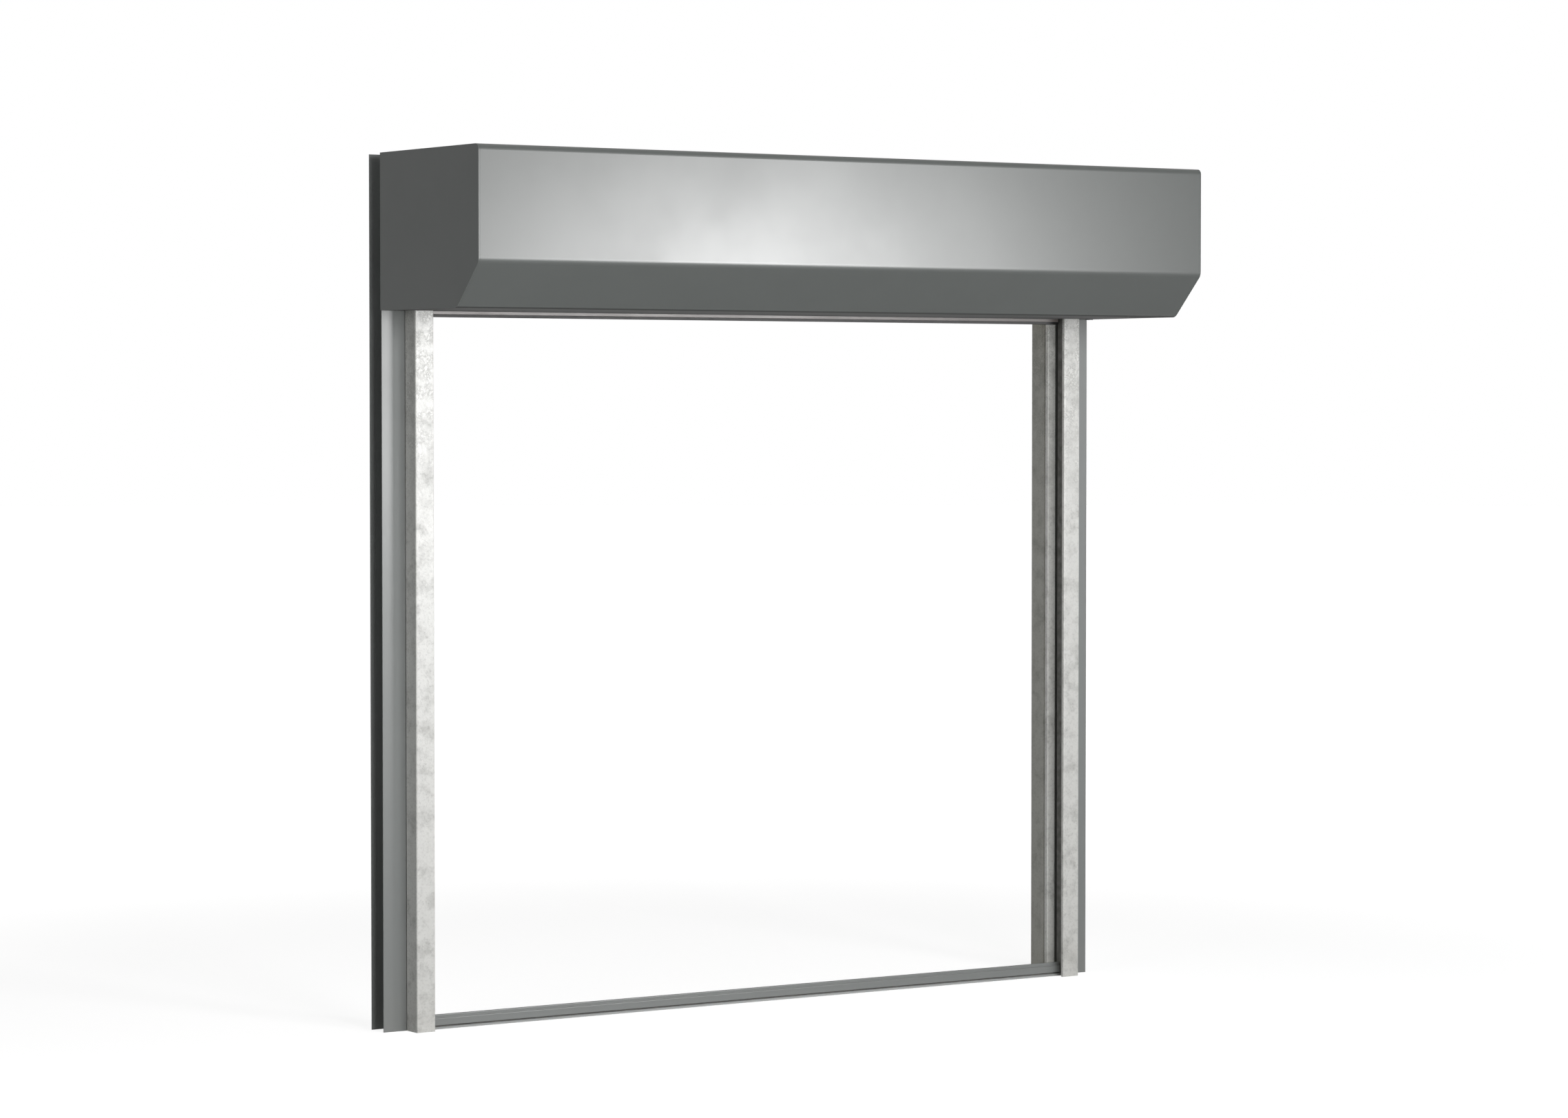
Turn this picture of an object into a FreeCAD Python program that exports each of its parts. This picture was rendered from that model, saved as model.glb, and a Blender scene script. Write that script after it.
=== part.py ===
"""Loading dock shutter: a slatted steel shutter that winds into a hood over a wall opening.

Millimetres. X runs along the width with 0 at the centre, Y runs into the wall with 0 at the
front face of the painted wall frame, and Z runs up from the floor. The shutter is drawn open:
the curtain is wound on its barrel and its bottom rail hangs just under the hood.
"""
import FreeCAD, Part
import math
import os

# Opening and hood
CLEAR_WIDTH = 2670.2
CLEAR_HEIGHT = 2453.0
HOOD_HEIGHT = 533.0
HOOD_DEPTH = 673.0
CHAMFER_RISE = 149.0
CHAMFER_RUN = 147.5
HOOD_SHEET = 2.0
HOOD_OVERHANG = 5.0
TOP_BEND = 18.0
FOLD_BEND = 32.0
EDGE_BEND = 1.0
COVER_RETURN = 22.0
NOTCH_PLAY = 2.0
THROAT_GAP = 3.3
CAP_BAND = 6.0
CAP_TONGUE = 25.0
CAP_FLANGE_GAP = 1.0
RIB_DEPTH = 30.0
RIB_SHEET = 4.0
RIB_SPACING = 700.0

# Wall frame that wraps the edge of the wall
WALL_GRIP = 82.5
FRAME_SHEET = 2.5
FLANGE_REACH = 88.6
FRAME_BEND = 1.5
FRAME_DROP = 2.0
HEAD_HEIGHT = 90.0
WALL_HOLE_R = 5.5
WALL_HOLE_SPACING = 600.0
WALL_HOLE_COUNT = 5
WALL_HOLE_INSET = 54.0
WALL_HOLE_FIRST_Z = 300.0

# Guide rails
RAIL_DEPTH = 73.65
RAIL_SHEET = 3.0
RAIL_LIP = 12.65
RAIL_RETURN = 31.0
RAIL_BEND = 1.0
RAIL_RISE = 60.0
RECESS_DEPTH = 31.9
GROOVE_DEPTH = 34.6
GROOVE_FRONT_Y = 10.5
LINER_SHEET = 2.0
LINER_BEND = 0.5
LINER_LIP = 16.2
INSERT_WALL = 1.2
INSERT_FIT = 0.2
FUNNEL_HEIGHT = 42.0
FUNNEL_FLARE = 22.0
FUNNEL_WALL = 2.0
FOOT_PLATE = 8.0
BRACKET_SHEET = 5.0
BRACKET_SCREW_PITCH = 22.0
ANCHOR_HOLE_R = 6.5

# Reveal post behind each rail
REVEAL_REAR_Y = 126.9
REVEAL_GROOVE_DEPTH = 5.0
REVEAL_GROOVE_WIDTH = 10.2
REVEAL_BEAD_WIDTH = 14.7
REVEAL_BEAD_DROP = 2.0
POST_WALL = 2.5
POST_STEP = 2.3

# Lintel panel over the opening
LINTEL_THICKNESS = 80.0
SKIN = 1.0
CARRIER_SHEET = 3.0
CARRIER_RISE = 6.0
CARRIER_LEG = 42.0
CARRIER_REACH = 8.8
BRUSH_THICKNESS = 5.0
BRUSH_GAP = 1.2

# Sill
SILL_FOOT_HEIGHT = 10.0
SILL_FOOT_REACH = 33.0
SILL_FOOT_BEVEL = 5.5
SILL_BED = 3.0
SILL_FACE_Y = -15.0
SILL_LANDING_Z = 36.0
SILL_RIDGE_TOP_Z = 48.5
SILL_RIDGE_WIDTH = 8.0
SILL_WALL = 3.0
SILL_END_GAP = 1.0
SILL_CORNER = 1.5
SILL_FACE_CORNER = 3.0
SILL_LEDGE_CORNER = 0.8

# Curtain
SLAT_THICKNESS = 11.5
SLAT_PITCH = 75.0
SLAT_WALL = 1.0
SLAT_GAP = 0.6
SLAT_PLAY = 0.8
SLAT_END_PLAY = 4.0
LAYER_GAP = 0.6
LEAD_SLATS = 3
TURNS_LEFT = 0.7
STRAP_COUNT = 5
STRAP_WIDTH = 50.0
STRAP_SHEET = 1.5
STRAP_LENGTH = 46.0

# Bottom rail
BOTTOM_RAIL_HEIGHT = 85.0
BOTTOM_RAIL_WALL = 2.5
BOTTOM_RAIL_END_GAP = 6.0
BOTTOM_RAIL_REAR_GAP = 2.0
BOTTOM_RAIL_DROP = 10.4
BOTTOM_RAIL_CORNER = 1.5
BOTTOM_SEAL_HEIGHT = 9.6
BOTTOM_SEAL_CORNER = 2.4
BOTTOM_SEAL_ROOT = 0.8
SEAL_LANDING_GAP = 0.5
SHOE_PLAY = 0.45
SHOE_END_PLAY = 1.5
SHOE_TONGUE = 40.0

# Barrel and drive
BARREL_R = 109.5
BARREL_WALL = 4.5
BARREL_Y = -205.0
BARREL_END_GAP = 16.0
END_DISC = 10.0
SHAFT_R = 20.0
SHAFT_INSIDE = 90.0
SHAFT_END = 5.0
COLLAR_R = 28.0
COLLAR_GAP = 10.0
HUB_R = 36.0
HUB_LENGTH = 45.0
BEARING_HEIGHT = 24.0
BEARING_RING_R = 31.0
BEARING_BODY_R = 44.0
BEARING_BOLT_PCD = 124.0
BEARING_FLANGE = 12.0
BEARING_PAD_R = 18.0
BEARING_ARM = 28.0
CONSOLE_PLATE = 8.0
CONSOLE_CLEARANCE = 15.8
CONSOLE_RISE = 121.0
CONSOLE_DROP = 187.0
CONSOLE_NOSE_R = 88.0
CONSOLE_FOOT = 40.0
CABLE_BORE_R = 40.0
MOTOR_R = 48.0
MOTOR_LENGTH = 620.0
MOTOR_WALL = 8.0
MOTOR_HEAD_R = 60.0
MOTOR_HEAD_LENGTH = 20.0
MOTOR_BRACKET = 6.0
MOTOR_BRACKET_CORNER = 12.0
OUTPUT_R = 14.0
WHEEL_WIDTH = 24.0
WHEEL_GAP = 12.0
WHEEL_HOLES = 6
CROWN_WIDTH = 14.0

# Fasteners and fits
SEAT = 0.3
RUNNING_FIT = 0.06
BOLT_R = 5.0
BOLT_FIT = 0.25
NUT_HEIGHT = 8.0
BOLT_TAIL = 2.0
COACH_LENGTH = 55.0
BOLT_HEAD_HEIGHT = 6.4
BOLT_HEAD_R = 9.2
SCREW_R = 2.4
SCREW_HEAD_R = 4.6
SCREW_HEAD_HEIGHT = 2.2
SCREW_HEAD_ROUND = 1.3
SCREW_LENGTH = 9.0
SCREW_SPACING = 150.0
GROMMET_R = 11.0
GROMMET_BORE_R = 5.0
GROMMET_RIM = 3.0

# Places across the width, from the lip of the rail outwards
LIP_X = CLEAR_WIDTH / 2
WEB_X = LIP_X + RECESS_DEPTH
GROOVE_X = WEB_X + GROOVE_DEPTH
FRAME_WEB_X = GROOVE_X + LINER_SHEET + SEAT
RAIL_X = FRAME_WEB_X + FRAME_SHEET
FRAME_X = RAIL_X + FLANGE_REACH
HOOD_X = FRAME_X + HOOD_OVERHANG
COVER_X = HOOD_X - CAP_BAND - SEAT
SLAT_X = GROOVE_X - INSERT_FIT - INSERT_WALL - SLAT_END_PLAY
SHOE_X = GROOVE_X - INSERT_FIT - INSERT_WALL - SHOE_END_PLAY
BOTTOM_RAIL_X = WEB_X - BOTTOM_RAIL_END_GAP
SILL_X = WEB_X - SILL_END_GAP
CONSOLE_X = SLAT_X + CONSOLE_CLEARANCE
CONSOLE_END_X = CONSOLE_X + CONSOLE_PLATE + CONSOLE_FOOT
BARREL_X = SLAT_X - BARREL_END_GAP

# Places in the depth of the wall
GROOVE_WIDTH = SLAT_THICKNESS + 2 * (SLAT_PLAY + INSERT_WALL + INSERT_FIT)
REAR_LEG_Y = GROOVE_FRONT_Y + GROOVE_WIDTH
CURTAIN_Y = GROOVE_FRONT_Y + GROOVE_WIDTH / 2
BOTTOM_RAIL_REAR_Y = REAR_LEG_Y - BOTTOM_RAIL_REAR_GAP
HOOD_REAR_Y = -2 * SEAT
THROAT_Y = -THROAT_GAP
FRAME_REAR_Y = 2 * FRAME_SHEET + WALL_GRIP
POST_FRONT_Y = REAR_LEG_Y + LINER_SHEET + SEAT
LINTEL_FRONT_Y = REVEAL_REAR_Y - LINTEL_THICKNESS

# Bolt circle that clears the motor head
MOTOR_BOLT_PCD = 2 * (MOTOR_HEAD_R + BOLT_HEAD_R + BOLT_FIT)

# Heights
HOOD_TOP_Z = CLEAR_HEIGHT + HOOD_HEIGHT
FRAME_TOP_Z = HOOD_TOP_Z - FRAME_DROP
HEAD_WEB_Z = FRAME_TOP_Z - HEAD_HEIGHT
RAIL_TOP_Z = CLEAR_HEIGHT + RAIL_RISE
BRACKET_Z = CLEAR_HEIGHT + 2 * (HOOD_SHEET + SEAT)
BOTTOM_RAIL_Z = CLEAR_HEIGHT - BOTTOM_RAIL_DROP
SEAL_Z = BOTTOM_RAIL_Z - BOTTOM_SEAL_HEIGHT
LEAD_Z = BOTTOM_RAIL_Z + BOTTOM_RAIL_HEIGHT
SHOULDER_Z = LEAD_Z - SLAT_GAP - SLAT_THICKNESS
TRAVEL = SEAL_Z - SILL_LANDING_Z - SEAL_LANDING_GAP

# The coil's hinge spiral: its first radius lets a flat slat clear the barrel, and its pitch
# lets a slat of the next turn clear the hinges of the turn below.
HALF_PITCH = SLAT_PITCH / 2
SPIRAL_R = math.hypot(BARREL_R + LAYER_GAP + SLAT_THICKNESS / 2, HALF_PITCH)
SPIRAL_GROWTH = math.hypot(SPIRAL_R + SLAT_THICKNESS + LAYER_GAP, HALF_PITCH) - SPIRAL_R

V = FreeCAD.Vector
RIGHT = 1
LEFT = -1
ALONG_X = V(1, 0, 0)
ALONG_Y = V(0, 1, 0)
ALONG_Z = V(0, 0, 1)


def plan(point, z=0.0):
    """Point of a section that is seen from above."""
    return V(point[0], point[1], z)


def side(point, x=0.0):
    """Point of a section that is seen from the side, as depth and height."""
    return V(x, point[0], point[1])


def unit(start, end):
    length = math.dist(start, end)
    return ((end[0] - start[0]) / length, (end[1] - start[1]) / length)


def shifted(points, distance):
    """The path moved to its left by a distance, with its corners kept sharp."""
    ways = [unit(a, b) for a, b in zip(points, points[1:])]
    moved = []
    for index, point in enumerate(points):
        before = ways[max(index - 1, 0)]
        after = ways[min(index, len(ways) - 1)]
        sine = before[0] * after[1] - before[1] * after[0]
        cosine = before[0] * after[0] + before[1] * after[1]
        slip = distance * sine / (1 + cosine)
        moved.append((
            point[0] - before[1] * distance - before[0] * slip,
            point[1] + before[0] * distance - before[1] * slip,
        ))
    return moved


def path_edges(points, radii, place):
    """Edges along an open path, with an arc of its radius at each inner corner."""
    edges = []
    start = points[0]
    for before, corner, after, radius in zip(points, points[1:], points[2:], radii):
        way_in = unit(before, corner)
        way_out = unit(corner, after)
        cosine = max(-1.0, min(1.0, way_in[0] * way_out[0] + way_in[1] * way_out[1]))
        half_turn = math.acos(cosine) / 2
        reach = radius * math.tan(half_turn)
        entry = (corner[0] - way_in[0] * reach, corner[1] - way_in[1] * reach)
        leave = (corner[0] + way_out[0] * reach, corner[1] + way_out[1] * reach)
        middle = ((entry[0] + leave[0]) / 2, (entry[1] + leave[1]) / 2)
        inset = radius / math.cos(half_turn) - radius
        inwards = unit(corner, middle)
        top = (corner[0] + inwards[0] * inset, corner[1] + inwards[1] * inset)
        edges.append(Part.LineSegment(place(start), place(entry)).toShape())
        edges.append(Part.Arc(place(entry), place(top), place(leave)).toShape())
        start = leave
    edges.append(Part.LineSegment(place(start), place(points[-1])).toShape())
    return edges


def folded(points, sheet, bends, place, run):
    """A folded sheet whose one face follows the points and whose other lies to their left.

    The bends are inside radii, one for each inner corner.
    """
    left = shifted(points, sheet)
    near = []
    far = []
    for before, corner, after, bend in zip(points, points[1:], points[2:], bends):
        way_in = unit(before, corner)
        way_out = unit(corner, after)
        turns_left = way_in[0] * way_out[1] > way_in[1] * way_out[0]
        near.append(bend + sheet if turns_left else bend)
        far.append(bend if turns_left else bend + sheet)
    edges = path_edges(points, near, place)
    edges.append(Part.LineSegment(place(points[-1]), place(left[-1])).toShape())
    edges += path_edges(left[::-1], far[::-1], place)
    edges.append(Part.LineSegment(place(left[0]), place(points[0])).toShape())
    return Part.Face(Part.Wire(edges)).extrude(run)


def polygon(points, place, run):
    wire = Part.makePolygon([place(point) for point in [*points, points[0]]])
    return Part.Face(wire).extrude(run)


def block(low, high):
    return Part.makeBox(high[0] - low[0], high[1] - low[1], high[2] - low[2], V(*low))


def round_x(radius, x0, x1, y, z):
    """A cylinder along X from x0 to x1."""
    return Part.makeCylinder(radius, x1 - x0, V(x0, y, z), ALONG_X)


def ring_x(outer, inner, x0, x1, y, z):
    return round_x(outer, x0, x1, y, z).cut(round_x(inner, x0, x1, y, z))


def on(which, shape):
    """The shape on the right side, or its mirror image on the left side."""
    return shape if which == RIGHT else shape.mirror(V(0, 0, 0), ALONG_X)


def both(shape):
    return Part.makeCompound([on(LEFT, shape), on(RIGHT, shape)])


def hexagon(z, height):
    """A hexagonal prism on the Z axis, from a height to another."""
    points = [
        (BOLT_HEAD_R * math.cos(math.radians(60 * k)), BOLT_HEAD_R * math.sin(math.radians(60 * k)))
        for k in range(6)
    ]
    return polygon(points, lambda point: plan(point, z), V(0, 0, height))


def set_along(shape, start, way):
    """The shape turned from the Z axis to lie along way, with its origin at start."""
    shape.Placement = FreeCAD.Placement(start, FreeCAD.Rotation(ALONG_Z, way))
    return shape


def bolt(start, way, grip):
    """A hexagon head bolt: its head stands on start, and its shank and nut lie along way."""
    shank = Part.makeCylinder(BOLT_R, grip + NUT_HEIGHT + BOLT_TAIL, V(0, 0, 0), ALONG_Z)
    head = hexagon(-BOLT_HEAD_HEIGHT, BOLT_HEAD_HEIGHT)
    return set_along(head.fuse([shank, hexagon(grip, NUT_HEIGHT)]), start, way)


def coach_screw(start, way):
    """A hexagon head screw with a pointed shank that bites into the wall."""
    shank = Part.makeCylinder(BOLT_R, COACH_LENGTH, V(0, 0, 0), ALONG_Z)
    point = Part.makeCone(BOLT_R, 0.0, 2 * BOLT_R, V(0, 0, COACH_LENGTH), ALONG_Z)
    head = hexagon(-BOLT_HEAD_HEIGHT, BOLT_HEAD_HEIGHT)
    return set_along(head.fuse([shank, point]), start, way)


def bolt_hole(start, way, depth):
    return Part.makeCylinder(BOLT_R + BOLT_FIT, depth, start, way)


def screw(start, way):
    """A pan head screw whose head stands on start and whose shank lies along way."""
    head = Part.makeCylinder(SCREW_HEAD_R, SCREW_HEAD_HEIGHT, start - way * SCREW_HEAD_HEIGHT, way)
    head = head.makeFillet(SCREW_HEAD_ROUND, [head.Edges[2]])
    return head.fuse(Part.makeCylinder(SCREW_R, SCREW_LENGTH, start, way))


def screw_hole(point, way):
    """A hole for a pan head screw, as long on each side of the point as the screw."""
    return Part.makeCylinder(SCREW_R + SEAT, 2 * SCREW_LENGTH, point - way * SCREW_LENGTH, way)


def hood_path():
    """The hood's outer face from the rear of its top, round the front, to the throat."""
    return [
        (HOOD_REAR_Y, HOOD_TOP_Z),
        (-HOOD_DEPTH, HOOD_TOP_Z),
        (-HOOD_DEPTH, CLEAR_HEIGHT + CHAMFER_RISE),
        (-HOOD_DEPTH + CHAMFER_RUN, CLEAR_HEIGHT),
        (THROAT_Y, CLEAR_HEIGHT),
    ]


def hood_band(inset, sheet, x0, x1):
    """A strip of sheet along the hood's section, at an inset from its outer face."""
    path = shifted(hood_path(), inset) if inset else hood_path()
    bends = [radius - inset for radius in (TOP_BEND, FOLD_BEND, FOLD_BEND)]
    place = lambda point: side(point, x0)
    return folded(path, sheet, bends, place, V(x1 - x0, 0, 0))


def hood_cover():
    path = [
        (HOOD_REAR_Y, HOOD_TOP_Z - COVER_RETURN),
        *hood_path(),
        (THROAT_Y, CLEAR_HEIGHT + COVER_RETURN),
    ]
    bends = [EDGE_BEND, TOP_BEND, FOLD_BEND, FOLD_BEND, EDGE_BEND]
    place = lambda point: side(point, -COVER_X)
    cover = folded(path, HOOD_SHEET, bends, place, V(2 * COVER_X, 0, 0))
    return_x = LIP_X - NOTCH_PLAY
    notch = block(
        (return_x, -RAIL_DEPTH - NOTCH_PLAY, CLEAR_HEIGHT - NOTCH_PLAY),
        (RAIL_X + NOTCH_PLAY, 0.0, CLEAR_HEIGHT + COVER_RETURN + NOTCH_PLAY),
    )
    returns = block(
        (return_x, THROAT_Y - HOOD_SHEET - EDGE_BEND, CLEAR_HEIGHT + HOOD_SHEET),
        (HOOD_X, 0.0, HOOD_TOP_Z - HOOD_SHEET),
    )
    cover = cover.cut([on(LEFT, notch), notch, on(LEFT, returns), returns])
    holes = [screw_hole(point, ALONG_Z) for point in hood_screw_points()]
    holes.append(Part.makeCylinder(GROMMET_R, 2 * COVER_RETURN, grommet_point(), ALONG_Z))
    return cover.cut(holes)


def hood_screw_points():
    """Screws through the hood's top into the tongues of both end caps."""
    count = int((HOOD_DEPTH - 2 * TOP_BEND) // SCREW_SPACING)
    rows = [-HOOD_DEPTH / 2 + (k - (count - 1) / 2) * SCREW_SPACING for k in range(count)]
    tongue_x = HOOD_X - CAP_BAND - CAP_TONGUE / 2
    return [V(x, y, HOOD_TOP_Z) for x in (-tongue_x, tongue_x) for y in rows]


def grommet_point():
    return V((RAIL_X + FRAME_X) / 2, -RAIL_DEPTH, CLEAR_HEIGHT - GROMMET_RIM)


def end_cap():
    """A flat end plate whose edge band lies flush with the cover and steps under it."""
    outer = hood_path()
    rear_foot = (HOOD_REAR_Y, CLEAR_HEIGHT)
    radii = [TOP_BEND + HOOD_SHEET, FOLD_BEND + HOOD_SHEET, FOLD_BEND + HOOD_SHEET]
    plate_x = HOOD_X - HOOD_SHEET
    place = lambda point: side(point, plate_x)
    edges = path_edges([*outer[:-1], rear_foot], radii, place)
    edges.append(Part.LineSegment(place(rear_foot), place(outer[0])).toShape())
    plate = Part.Face(Part.Wire(edges)).extrude(V(HOOD_SHEET, 0, 0))
    band_x = HOOD_X - CAP_BAND
    step = HOOD_SHEET + SEAT
    band = hood_band(0.0, HOOD_SHEET, band_x, HOOD_X)
    joggle = hood_band(0.0, step + HOOD_SHEET, band_x, band_x + HOOD_SHEET)
    tongue = hood_band(step, HOOD_SHEET, band_x - CAP_TONGUE, band_x + HOOD_SHEET)
    flange = block(
        (CONSOLE_END_X + CAP_FLANGE_GAP, HOOD_REAR_Y - HOOD_SHEET, RAIL_TOP_Z + CAP_FLANGE_GAP),
        (HOOD_X, HOOD_REAR_Y, HOOD_TOP_Z - HOOD_SHEET - step),
    )
    holes = [screw_hole(point, ALONG_Z) for point in hood_screw_points()]
    holes += [screw_hole(point, ALONG_Y) for point in cap_screw_points()]
    return plate.fuse([band, joggle, tongue, flange]).cut(holes)


def cap_screw_points():
    """Screws through an end cap's rear flange into the front flange of the wall frame."""
    x = (CONSOLE_END_X + FRAME_X) / 2
    y = HOOD_REAR_Y - HOOD_SHEET
    low = RAIL_TOP_Z + 4 * SCREW_HEAD_R
    return [V(x, y, low), V(x, y, HOOD_TOP_Z - 6 * SCREW_HEAD_R)]


def hood_rib(x):
    """A stiffener that follows the inside of the cover on edge."""
    rear, *corners, throat = shifted(hood_path(), HOOD_SHEET + SEAT)
    clear = HOOD_SHEET + EDGE_BEND + SEAT
    path = [(rear[0] - clear, rear[1]), *corners, (throat[0] - clear, throat[1])]
    inner = shifted(path, RIB_DEPTH)
    place = lambda point: side(point, x - RIB_SHEET / 2)
    radii = [TOP_BEND - SEAT, FOLD_BEND - SEAT, FOLD_BEND - SEAT]
    edges = path_edges(path, radii, place)
    edges.append(Part.LineSegment(place(path[-1]), place(inner[-1])).toShape())
    edges += path_edges(inner[::-1], [radius / 4 for radius in radii[::-1]], place)
    edges.append(Part.LineSegment(place(inner[0]), place(path[0])).toShape())
    return Part.Face(Part.Wire(edges)).extrude(V(RIB_SHEET, 0, 0))


def wall_channel():
    """A painted channel that opens outwards and wraps the upright edge of the wall."""
    path = [
        (FRAME_X, FRAME_REAR_Y),
        (FRAME_WEB_X, FRAME_REAR_Y),
        (FRAME_WEB_X, 0.0),
        (FRAME_X, 0.0),
    ]
    channel = folded(path, FRAME_SHEET, [FRAME_BEND] * 2, plan, V(0, 0, FRAME_TOP_Z))
    holes = [
        bolt_hole(V(point.x, -FRAME_SHEET, point.z), ALONG_Y, 3 * FRAME_SHEET)
        for point in console_screw_points() + bracket_screw_points()
    ]
    holes += [screw_hole(point, ALONG_Y) for point in cap_screw_points()]
    for index in range(WALL_HOLE_COUNT):
        z = WALL_HOLE_FIRST_Z + index * WALL_HOLE_SPACING
        start = V(FRAME_X - WALL_HOLE_INSET, FRAME_REAR_Y - 2 * FRAME_SHEET, z)
        holes.append(Part.makeCylinder(WALL_HOLE_R, 3 * FRAME_SHEET, start, ALONG_Y))
    return channel.cut(holes)


def head_channel():
    """The same section across the head, open upwards, between the two side channels."""
    path = [
        (0.0, FRAME_TOP_Z),
        (0.0, HEAD_WEB_Z),
        (FRAME_REAR_Y, HEAD_WEB_Z),
        (FRAME_REAR_Y, FRAME_TOP_Z),
    ]
    half = FRAME_WEB_X - SEAT
    place = lambda point: side(point, -half)
    return folded(path, FRAME_SHEET, [FRAME_BEND] * 2, place, V(2 * half, 0, 0))


def guide_rail():
    """The galvanised cover of the guide: lip, front, outer side and a return at the wall."""
    path = [
        (LIP_X, -RAIL_DEPTH + RAIL_LIP),
        (LIP_X, -RAIL_DEPTH),
        (RAIL_X, -RAIL_DEPTH),
        (RAIL_X, -SEAT),
        (RAIL_X - RAIL_RETURN, -SEAT),
    ]
    return folded(path, RAIL_SHEET, [RAIL_BEND] * 3, plan, V(0, 0, RAIL_TOP_Z))


def guide_liner():
    """The inner profile: web of the recess, groove for the slats, and the rear leg with its lip."""
    path = [
        (LIP_X, REAR_LEG_Y + LINER_LIP),
        (LIP_X, REAR_LEG_Y),
        (GROOVE_X, REAR_LEG_Y),
        (GROOVE_X, GROOVE_FRONT_Y),
        (WEB_X, GROOVE_FRONT_Y),
        (WEB_X, -RAIL_DEPTH + RAIL_SHEET + SEAT),
    ]
    return folded(path, LINER_SHEET, [LINER_BEND] * 4, plan, V(0, 0, RAIL_TOP_Z))


def guide_insert():
    """A dark plastic channel that lines the groove."""
    path = [
        (WEB_X + INSERT_WALL, REAR_LEG_Y - INSERT_FIT),
        (GROOVE_X - INSERT_FIT, REAR_LEG_Y - INSERT_FIT),
        (GROOVE_X - INSERT_FIT, GROOVE_FRONT_Y + INSERT_FIT),
        (WEB_X + INSERT_WALL, GROOVE_FRONT_Y + INSERT_FIT),
    ]
    foot = SILL_RIDGE_TOP_Z / 2
    place = lambda point: plan(point, foot)
    return folded(path[::-1], INSERT_WALL, [LINER_BEND] * 2, place, V(0, 0, RAIL_TOP_Z - foot))


def inlet_funnel():
    """A flared mouth that leads the slats from the coil into the groove."""
    def section(flare, z):
        rear = REAR_LEG_Y + FUNNEL_WALL
        front = GROOVE_FRONT_Y - FUNNEL_WALL - flare
        mouth = WEB_X + FUNNEL_WALL
        outer = GROOVE_X + LINER_SHEET
        points = [
            (mouth, front), (outer, front), (outer, rear), (mouth, rear),
            (mouth, rear - FUNNEL_WALL), (outer - LINER_SHEET, rear - FUNNEL_WALL),
            (outer - LINER_SHEET, front + FUNNEL_WALL), (mouth, front + FUNNEL_WALL),
        ]
        return Part.makePolygon([plan(point, z) for point in [*points, points[0]]])

    base = RAIL_TOP_Z + SEAT
    return Part.makeLoft([section(0.0, base), section(FUNNEL_FLARE, base + FUNNEL_HEIGHT)], True, True)


def foot_plate():
    """The plate inside the foot of a rail, with the hole for its floor anchor."""
    low = (WEB_X + LINER_SHEET + SEAT, -RAIL_DEPTH + RAIL_SHEET + SEAT, 0.0)
    high = (RAIL_X - RAIL_SHEET - SEAT, -SEAT - RAIL_SHEET - SEAT, FOOT_PLATE)
    centre = V((low[0] + high[0]) / 2, (low[1] + high[1]) / 2, 0)
    return block(low, high).cut(Part.makeCylinder(ANCHOR_HOLE_R, FOOT_PLATE, centre, ALONG_Z))


def bracket_screw_points():
    z = (BRACKET_Z + RAIL_TOP_Z) / 2
    x = (RAIL_X + FRAME_X) / 2
    y = -SEAT - BRACKET_SHEET
    return [V(x - BRACKET_SCREW_PITCH / 2, y, z), V(x + BRACKET_SCREW_PITCH / 2, y, z)]


def rail_bracket():
    """An angle inside the hood that ties the top of a rail to the wall frame."""
    path = [
        (RAIL_X + SEAT, -RAIL_DEPTH + 2 * BRACKET_SHEET),
        (RAIL_X + SEAT, -SEAT),
        (FRAME_X - 2 * BRACKET_SHEET, -SEAT),
    ]
    place = lambda point: plan(point, BRACKET_Z)
    angle = folded(path[::-1], BRACKET_SHEET, [FRAME_BEND], place, V(0, 0, RAIL_TOP_Z - BRACKET_Z))
    holes = [bolt_hole(point - ALONG_Y, ALONG_Y, BRACKET_SHEET + 2) for point in bracket_screw_points()]
    return angle.cut(holes)


def reveal_post():
    """The galvanised box behind the guide that lines the reveal, with a groove and a bead."""
    lip_end = REAR_LEG_Y + LINER_LIP + SEAT
    groove_end = lip_end + REVEAL_GROOVE_WIDTH
    bead_end = groove_end + REVEAL_BEAD_WIDTH
    outer_x = FRAME_WEB_X - SEAT
    outline = [
        (LIP_X + POST_STEP, POST_FRONT_Y),
        (LIP_X + POST_STEP, lip_end),
        (LIP_X + REVEAL_GROOVE_DEPTH, lip_end),
        (LIP_X + REVEAL_GROOVE_DEPTH, groove_end),
        (LIP_X + REVEAL_BEAD_DROP, groove_end),
        (LIP_X, bead_end),
        (LIP_X, REVEAL_REAR_Y),
        (outer_x, REVEAL_REAR_Y),
        (outer_x, POST_FRONT_Y),
    ]
    top = HEAD_WEB_Z - SEAT
    hollow = block(
        (LIP_X + REVEAL_GROOVE_DEPTH + POST_WALL, POST_FRONT_Y + POST_WALL, 0.0),
        (outer_x - POST_WALL, REVEAL_REAR_Y - POST_WALL, top),
    )
    return polygon(outline, plan, V(0, 0, top)).cut(hollow)


def lintel_core():
    half = LIP_X - SEAT
    return block(
        (-half, LINTEL_FRONT_Y + SKIN, CLEAR_HEIGHT),
        (half, REVEAL_REAR_Y - SKIN, HEAD_WEB_Z - SEAT),
    )


def lintel_skins():
    half = LIP_X - SEAT
    top = HEAD_WEB_Z - SEAT
    front = block((-half, LINTEL_FRONT_Y, CLEAR_HEIGHT), (half, LINTEL_FRONT_Y + SKIN, top))
    rear = block((-half, REVEAL_REAR_Y - SKIN, CLEAR_HEIGHT), (half, REVEAL_REAR_Y, top))
    return Part.makeCompound([front, rear])


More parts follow.
